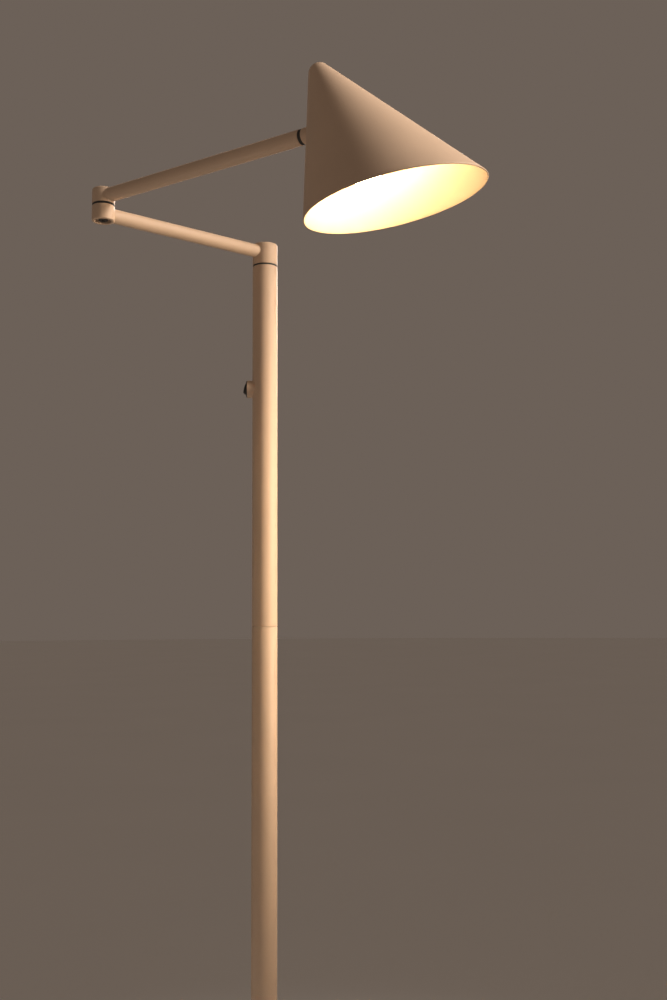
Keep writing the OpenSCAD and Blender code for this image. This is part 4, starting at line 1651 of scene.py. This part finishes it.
@dataclass(frozen=True)
class Shade(SubAssembly):
    """Obliquely cut cone with its stub, and the nut and bracket inside it."""

    near_side: float = 157 * MM
    rim_tilt: float = 8.0
    tip_radius: float = 10 * MM
    wall: float = 1.2 * MM
    cone_drill: float = 22 * MM
    stub_fillet: float = 0.6 * MM
    saddle_thickness: float = 2.6 * MM
    bracket_width: float = 10 * MM
    bracket_reach: float = 8 * MM
    bracket_bend: float = 1.2 * MM
    bracket_drill: float = 30 * MM
    nipple_drill: float = 4 * MM
    nut_flats: float = 12.4 * MM
    nut_height: float = 3.5 * MM
    search_from: float = -20 * MM
    search_to: float = 40 * MM
    search_steps: int = 40

    @property
    def lean(self) -> float:
        """Lean of the cone's axis away from the arm, in radians."""
        return math.radians(PLACES.cone_lean)

    @property
    def inner_face(self) -> float:
        """Where the arm's axis leaves the saddle washer."""
        near_lean = math.tan(math.radians(PLACES.near_lean))
        return PLACES.apex_along - PLACES.apex_up * near_lean + self.wall + self.saddle_thickness

    def pieces(self) -> Iterator[Piece]:
        """Give the pieces in order."""
        body = Body.SHADE
        yield Piece("shade_cone", "shade", body, self.cone())
        yield Piece("shade_stub_painted", "shade_stub", body, self.stub(), place=PLACES.shade)
        nut = screw_nut(self.nut_flats, SPINDLE_RADIUS, self.nut_height)
        place = PLACES.shade @ at(self.inner_face + BRACKET_THICKNESS, 0, 0) @ turned(90, "Y")
        yield Piece("shade_clamp_nut", "shade_nut", body, nut, BARE_STEEL, place)
        yield Piece("holder_bracket", "lamp_bracket", body, self.bracket(), BARE_STEEL, PLACES.shade)

    def cone(self) -> Shape:
        """Return the cone with the spindle's hole."""
        slope = PLACES.cone_lean - self.rim_tilt
        rule = ObliqueCone(PLACES.half_angle, self.near_side, slope, self.tip_radius, self.wall)
        shape = moved(rule.shape(SAND_PAINT), PLACES.cone)
        drill = rod(SPINDLE_RADIUS + SPINDLE_PLAY, 0.0, self.cone_drill, FEW_SIDES)
        return drilled(shape, moved(drill, PLACES.along_arm))

    def reach(self, side: float, up: float) -> float:
        """Return where a line along the arm meets the cone, measured from the ring's middle.

        Args:
            side: Distance of the line beside the arm's axis.
            up: Its height above the arm's axis.

        Returns:
            The distance.
        """
        axis = Vector((math.sin(self.lean), 0, -math.cos(self.lean)))
        tip = Vector((PLACES.apex_along, 0, PLACES.apex_up))
        flare = math.tan(math.radians(PLACES.half_angle))
        near, far = self.search_from, self.search_to
        for _ in range(self.search_steps):
            middle = (near + far) / 2
            ray = Vector((middle, side, up)) - tip
            along = ray.dot(axis)
            if (ray - axis * along).length > along * flare:
                near = middle
            else:
                far = middle
        return far

    def stub(self) -> Shape:
        """Return the stub between the ring and the cone."""
        tube = ArmTube(wall=ARM_RADIUS - SPINDLE_RADIUS, fillet=self.stub_fillet)
        start = tube.square(RING_THICKNESS / 2, -1.0)
        return skinned(start[::-1] + tube.blended(self.reach, -1.0)[::-1], closed=True)

    def cone_point(self, along: float, across: float) -> Point:
        """Return a point of the shade's upright plane.

        Args:
            along: Distance along the cone's axis from the virtual tip.
            across: Distance from the axis towards the arm.

        Returns:
            The point in the shade's frame.
        """
        sine, cosine = math.sin(self.lean), math.cos(self.lean)
        height = PLACES.apex_up - along * cosine - across * sine
        return PLACES.apex_along + along * sine - across * cosine, height

    def bend_point(self, along: float, face: float) -> Point:
        """Return where a face of the strip's upright leg meets that distance along the cone's axis."""
        across = (PLACES.apex_along + along * math.sin(self.lean) - face) / math.cos(self.lean)
        return self.cone_point(along, across)

    def bracket(self) -> Shape:
        """Return the bent strip that holds the lampholder."""
        thick, bend, end = BRACKET_THICKNESS, self.bracket_bend, -self.bracket_reach
        inner, outer = self.inner_face, self.inner_face + thick
        top = HOLDER_START - thick
        corners = [
            (inner, end, BROKEN), (outer, end, BROKEN),
            (*self.bend_point(HOLDER_START, outer), bend),
            (*self.cone_point(HOLDER_START, end), BROKEN), (*self.cone_point(top, end), BROKEN),
            (*self.bend_point(top, inner), bend + thick),
        ]
        strip = prism(softened(corners, steps=6), self.bracket_width)
        spindle = rod(SPINDLE_RADIUS + SPINDLE_PLAY, 0.0, self.bracket_drill, FEW_SIDES)
        start, stop = HOLDER_START - self.nipple_drill, HOLDER_START + self.nipple_drill
        nipple = rod(NIPPLE_RADIUS, start, stop, FEW_SIDES)
        to_cone = PLACES.shade.inverted() @ PLACES.cone
        return drilled(strip, moved(spindle, turned(90, "Y")), moved(nipple, to_cone))


@dataclass(frozen=True)
class Lampholder(SubAssembly):
    """Black lampholder on its bracket, with a china core and a brass screw shell."""

    radius: float = 13 * MM
    wall: float = 1.4 * MM
    cap_length: float = 14 * MM
    cap_edge: float = 4 * MM
    cap_hollow: float = 2 * MM
    skirt_length: float = 30 * MM
    rib_count: int = 28
    rib_thickness: float = 1.3 * MM
    rib_sunk: float = 0.25 * MM
    rib_start: float = 3 * MM
    rib_margin: float = 7 * MM
    core_drop: float = 2 * MM
    core_length: float = 22 * MM
    core_floor: float = 4 * MM
    core_play: float = 0.02 * MM
    contact_thickness: float = 1.5 * MM
    shell_radius: float = 7.5 * MM
    shell_wall: float = 0.4 * MM
    shell_thread: float = 0.3 * MM
    nut_flats: float = 13 * MM
    nut_height: float = 3.5 * MM

    def pieces(self) -> Iterator[Piece]:
        """Give the pieces in order."""
        body, cone = Body.SHADE, PLACES.cone
        skirt = HOLDER_START + self.cap_length
        core = skirt + self.core_drop
        yield Piece("holder_dome", "holder_cap", body, self.dome(skirt), HOLDER_BLACK, cone)
        yield Piece("holder_ribbed_skirt", "holder_skirt", body, self.skirt(skirt), HOLDER_BLACK, cone)
        yield Piece("holder_china_core", "holder_core", body, self.core(core), CHINA, cone)
        start = core + self.core_floor + self.contact_thickness
        length = core + self.core_length - start
        sleeve = ThreadedSleeve(self.shell_radius, length, self.shell_thread, self.shell_wall)
        shell = moved(sleeve.shape(BRASS), at(0, 0, start))
        yield Piece("holder_brass_shell", "holder_screw_shell", body, shell, BRASS, cone)
        nut = screw_nut(self.nut_flats, NIPPLE_RADIUS, self.nut_height)
        place = cone @ at(0, 0, HOLDER_START - BRACKET_THICKNESS - self.nut_height)
        yield Piece("holder_lock_nut", "holder_nut", body, nut, BRASS, place)

    def dome(self, end: float) -> Shape:
        """Return the domed cap.

        Args:
            end: Where it ends along the cone's axis.

        Returns:
            The cap.
        """
        inner, roof = self.radius - self.wall, HOLDER_START + self.cap_edge
        return hollow([
            (NIPPLE_RADIUS, HOLDER_START, BROKEN), (self.radius, HOLDER_START, self.cap_edge),
            (self.radius, end, FINE), (inner, end, 0.0),
            (inner, roof, self.cap_hollow), (NIPPLE_RADIUS, roof, 0.0),
        ])

    def skirt(self, start: float) -> Shape:
        """Return the ribbed skirt.

        Args:
            start: Where it starts along the cone's axis.

        Returns:
            The skirt.
        """
        heights = (start, start + self.skirt_length)
        tube = band((self.radius - self.wall, self.radius), heights, (0.0, BROKEN, ROUNDED, EASED))
        height = self.skirt_length - self.rib_margin
        ribs = RibRing(
            self.rib_count, self.radius - self.rib_sunk, start + self.rib_start, height, self.rib_thickness
        )
        return joined(tube, ribs.shape(HOLDER_BLACK))

    def core(self, start: float) -> Shape:
        """Return the china core.

        Args:
            start: Where it starts along the cone's axis.

        Returns:
            The core.
        """
        bore, outer = self.shell_radius + self.core_play, self.radius - self.wall - self.core_play
        end, floor = start + self.core_length, start + self.core_floor
        return solid([
            (0.0, start, 0.0), (outer, start, EASED), (outer, end, SOFT),
            (bore, end, SOFT), (bore, floor, BROKEN), (0.0, floor, 0.0),
        ])


@dataclass(frozen=True)
class Bulb(SubAssembly):
    """Small opal globe bulb, switched on, with a rolled screw cap and a plastic collar."""

    collar: float = 87 * MM
    collar_lip: float = 1 * MM
    collar_swell: float = 1.6 * MM
    collar_rise: float = 2 * MM
    collar_edge: float = 0.8 * MM
    collar_shoulder: float = 4 * MM
    cap_start: float = 63.5 * MM
    cap_radius: float = 6.95 * MM
    cap_tip: float = 2 * MM
    cap_wall: float = 0.6 * MM
    contact_radius: float = 2.5 * MM
    plug_height: float = 1 * MM
    plug_inset: float = 0.7 * MM
    tip_inset: float = 1 * MM
    thread_depth: float = 0.45 * MM
    globe_radius: float = 22.5 * MM
    globe_at: float = 111.5 * MM
    neck_share: float = 0.64
    wall: float = 1 * MM
    globe_steps: int = 48

    def pieces(self) -> Iterator[Piece]:
        """Give the pieces in order."""
        body, cone = Body.SHADE, PLACES.cone
        yield Piece("bulb_screw_cap", "bulb_cap", body, self.screw_cap(), NICKEL, cone)
        yield Piece("bulb_plastic_collar", "bulb_collar", body, self.neck(), WHITE_PLASTIC, cone)
        yield Piece("bulb_opal_globe", "bulb_globe", body, self.globe(), OPAL, cone)

    def screw_cap(self) -> Shape:
        """Return the rolled screw cap with its contact."""
        start = self.cap_start + self.cap_tip
        plug = start + self.plug_height
        sleeve = ThreadedSleeve(self.cap_radius, self.collar - start, self.thread_depth, self.cap_wall)
        tip = solid([
            (0.0, self.cap_start, 0.0), (self.contact_radius, self.cap_start, EASED),
            (self.cap_radius - self.tip_inset, start, SOFT),
            (self.cap_radius - self.plug_inset, plug, 0.0), (0.0, plug, 0.0),
        ], DRILL_SIDES, 4)
        return joined(moved(sleeve.shape(NICKEL), at(0, 0, start)), tip)

    def neck(self) -> Shape:
        """Return the plastic collar up to the globe's neck."""
        end = self.globe_at - self.globe_radius * self.neck_share
        end_radius = self.globe_radius * math.sqrt(1 - self.neck_share**2)
        return solid([
            (0.0, self.collar, 0.0), (self.cap_radius + self.collar_lip, self.collar, self.collar_edge),
            (self.cap_radius + self.collar_swell, self.collar + self.collar_rise, self.collar_shoulder),
            (end_radius, end, 0.0), (0.0, end, 0.0),
        ], HEAD_SIDES)

    def globe(self) -> Shape:
        """Return the thin globe, open at its neck."""
        opening = math.pi - math.acos(self.neck_share)
        middle, steps = (0.0, self.globe_at), self.globe_steps
        inner_radius = self.globe_radius - self.wall
        outer = arc(middle, self.globe_radius, QUARTER_TURN, QUARTER_TURN - opening, steps)
        inner = arc(middle, inner_radius, QUARTER_TURN - opening, QUARTER_TURN, steps)
        outer[0] = (0.0, self.globe_at + self.globe_radius)
        inner[-1] = (0.0, self.globe_at + inner_radius)
        return lathe(outer + inner, closed=False, sides=HEAD_SIDES)


@dataclass(frozen=True)
class Switch(SubAssembly):
    """Round rocker switch in a painted boss on the pole."""

    boss_radius: float = 9.75 * MM
    boss_edge: float = 0.6 * MM
    boss_sunk: float = 0.2 * MM
    fillet: float = 0.8 * MM
    barrel_radius: float = 8.3 * MM
    barrel_back: float = 5.25 * MM
    barrel_play: float = 0.15 * MM
    bezel_radius: float = 9.25 * MM
    bezel_thickness: float = 1.2 * MM
    bezel_edge: float = 0.7 * MM
    bore_radius: float = 7.2 * MM
    cavity: float = 13.7 * MM
    rocker_radius: float = 7.1 * MM
    rocker_back: float = 2 * MM
    rocker_height: float = 4.7 * MM
    rocker_dish: float = 0.6 * MM
    rocker_edge: float = 0.5 * MM
    side_steps: int = 14
    face_steps: int = 10
    pin_radius: float = 1 * MM
    pin_length: float = 15.8 * MM

    @property
    def face(self) -> float:
        """Distance of the boss's face from the pole's axis."""
        return -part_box("switch_boss")[0].x

    def pieces(self) -> Iterator[Piece]:
        """Give the pieces in order."""
        switch = PLACES.switch
        yield Piece("switch_painted_boss", "switch_boss", Body.STAND, self.boss(), place=switch)
        yield Piece("switch_bezel", "switch_body", Body.STAND, self.barrel(), SWITCH_BLACK, switch)
        rocker = self.rocker()
        yield Piece("switch_rocker_button", "switch_rocker", Body.ROCKER, rocker, SWITCH_BLACK, PLACES.rocker)

    def boss(self) -> Shape:
        """Return the boss, blended into the pole."""
        face, edge, hole = self.face, self.boss_edge, self.barrel_radius + self.barrel_play
        foot = [(hole, -self.boss_sunk), *fillet_rings(self.boss_radius, self.fillet, self.boss_sunk)]
        rings: list = [on_pole(radius, lift, 1) for radius, lift in foot]
        rings += arc((self.boss_radius - edge, face - edge), edge, 0, QUARTER_TURN)
        return lathe([*rings, (hole, face)])

    def barrel(self) -> Shape:
        """Return the black body with its bezel and the rocker's opening."""
        face, back = self.face, self.barrel_back
        front = face + self.bezel_thickness
        return solid([
            (0.0, back, 0.0), (self.barrel_radius, back, BROKEN),
            (self.barrel_radius, face, 0.0), (self.bezel_radius, face, 0.0),
            (self.bezel_radius, front, self.bezel_edge), (self.bore_radius, front, BROKEN),
            (self.bore_radius, self.cavity, BROKEN), (0.0, self.cavity, 0.0),
        ])

    def dished(self, radius: float, rim: float) -> RingRule:
        """Return the rule of a ring on the rocker's dished face.

        Args:
            radius: Radius of the ring.
            rim: Radius of the face.

        Returns:
            The rule.
        """

        def rule(angle: float) -> Vector:
            """Return the point at that angle."""
            up, side = radius * math.cos(angle), radius * math.sin(angle)
            dish = self.rocker_dish * (1 - min(1.0, abs(up) / rim) ** 2)
            return Vector((up, side, self.rocker_height - dish))

        return rule

    def rocker(self) -> Shape:
        """Return the rocker: a slice of a ball with a dished face, and its pins."""
        ball, edge = self.rocker_radius, self.rocker_edge
        low = -math.asin(self.rocker_back / ball)
        high = math.asin((self.rocker_height - edge) / ball)
        rim = ball * math.cos(high) - edge
        rings: list = [(0.0, -self.rocker_back), *arc((0.0, 0.0), ball, low, high, self.side_steps)]
        rings += arc((rim, ball * math.sin(high)), edge, math.pi / 12, QUARTER_TURN, 5)[:-1]
        rings += [self.dished(rim * (1 - step / self.face_steps), rim) for step in range(self.face_steps)]
        rings.append((0.0, self.rocker_height - self.rocker_dish))
        pin = rod(self.pin_radius, -self.pin_length / 2, self.pin_length / 2, PIN_SIDES)
        return joined(lathe(rings, closed=False, sides=HEAD_SIDES), moved(pin, turned(90, "X")))


class HiddenPieces:
    """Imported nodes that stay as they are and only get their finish."""

    def build(self) -> None:
        """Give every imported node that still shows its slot's finish."""
        slots = {part["node"]: part["material_slot"] for part in frame["record"]["subparts"]}
        for name, piece in frame["nodes"].items():
            if not piece.hide_render:
                piece.data.materials.clear()
                piece.data.materials.append(FINISHES[slots[name]].material())
                LOG.info("%s: kept, finish %s", name, slots[name])


# Room and camera


@dataclass(frozen=True)
class SoftLight:
    """A soft round studio light."""

    name: str
    spot: Corner
    aim: Corner
    size: float
    power: float
    spread: float
    colour: Colour

    def build(self) -> None:
        """Put the light in the scene."""
        data = bpy.data.lights.new(self.name, "AREA")
        data.shape = "DISK"
        data.size = self.size
        data.energy = self.power
        data.spread = math.radians(self.spread)
        data.color = self.colour
        made = bpy.data.objects.new(self.name, data)
        made.location = self.spot
        made.rotation_euler = (Vector(self.aim) - Vector(self.spot)).to_track_quat("-Z", "Y").to_euler()
        bpy.context.scene.collection.objects.link(made)


@dataclass(frozen=True)
class Studio:
    """Plain pale floor under soft light, mostly from the right, and an even warm backdrop."""

    floor_radius: float = 30.0
    floor_depth: float = 0.02
    backdrop: Colour = (0.15, 0.119, 0.098)
    lights: tuple[SoftLight, ...] = (
        SoftLight("key_right", (1.7, -0.45, 1.0), (0.0, 0.0, 0.94), 0.5, 1.7, 30.0, (1.0, 0.8, 0.58)),
        SoftLight("soft_right", (1.4, -0.5, 2.0), (0.2, -0.33, 1.27), 0.5, 1.65, 36.0, (1.0, 0.9, 0.8)),
        SoftLight("fill_front", (-0.9, -2.2, 1.6), (0.0, 0.0, 0.9), 1.8, 1.0, 180.0, (1.0, 0.9, 0.8)),
        SoftLight("soft_back", (0.5, 2.0, 1.9), (0.0, 0.0, 0.7), 1.0, 7.0, 60.0, (1.0, 0.93, 0.86)),
    )

    def build(self) -> None:
        """Make the floor, the backdrop and the lights."""
        shape = rod(self.floor_radius, 0.0, -self.floor_depth, HEAD_SIDES)
        floor = loose_object("studio_floor", shape)
        floor.data.materials.append(PALE_FLOOR.material())
        world = bpy.data.worlds.new("studio")
        world.use_nodes = True
        graph = Graph(world.node_tree)
        light = graph.node("ShaderNodeBackground", None, {"Color": (*self.backdrop, 1.0), "Strength": 1.0})
        graph.node("ShaderNodeOutputWorld", None, {"Surface": light[0]})
        bpy.context.scene.world = world
        bpy.context.scene.view_settings.view_transform = "Standard"
        for lamp in self.lights:
            lamp.build()


@dataclass(frozen=True)
class Viewpoint:
    """Camera just below the middle of the pole, looking slightly up."""

    spot: Corner = (0.0765, -1.2400, 0.8516)
    pitch: float = 5.48
    roll: float = -0.26
    lens: float = 40.29

    def build(self) -> None:
        """Make the camera and use it."""
        data = bpy.data.cameras.new("camera")
        data.lens = self.lens
        camera = bpy.data.objects.new("camera", data)
        camera.matrix_world = at(*self.spot) @ turned(90 + self.pitch, "X") @ turned(self.roll, "Z")
        bpy.context.scene.collection.objects.link(camera)
        bpy.context.scene.camera = camera


def main() -> None:
    """Build the camera, the lamp and the room, in that order."""
    logging.basicConfig(level=logging.INFO, format="%(name)s: %(message)s")
    Viewpoint().build()
    parts = (Base(), Pole(), Switch(), LowerArm(), UpperArm(), Shade(), Lampholder(), Bulb(), HiddenPieces())
    for part in parts:
        part.build()
    Studio().build()


if __name__ == "__main__":
    main()
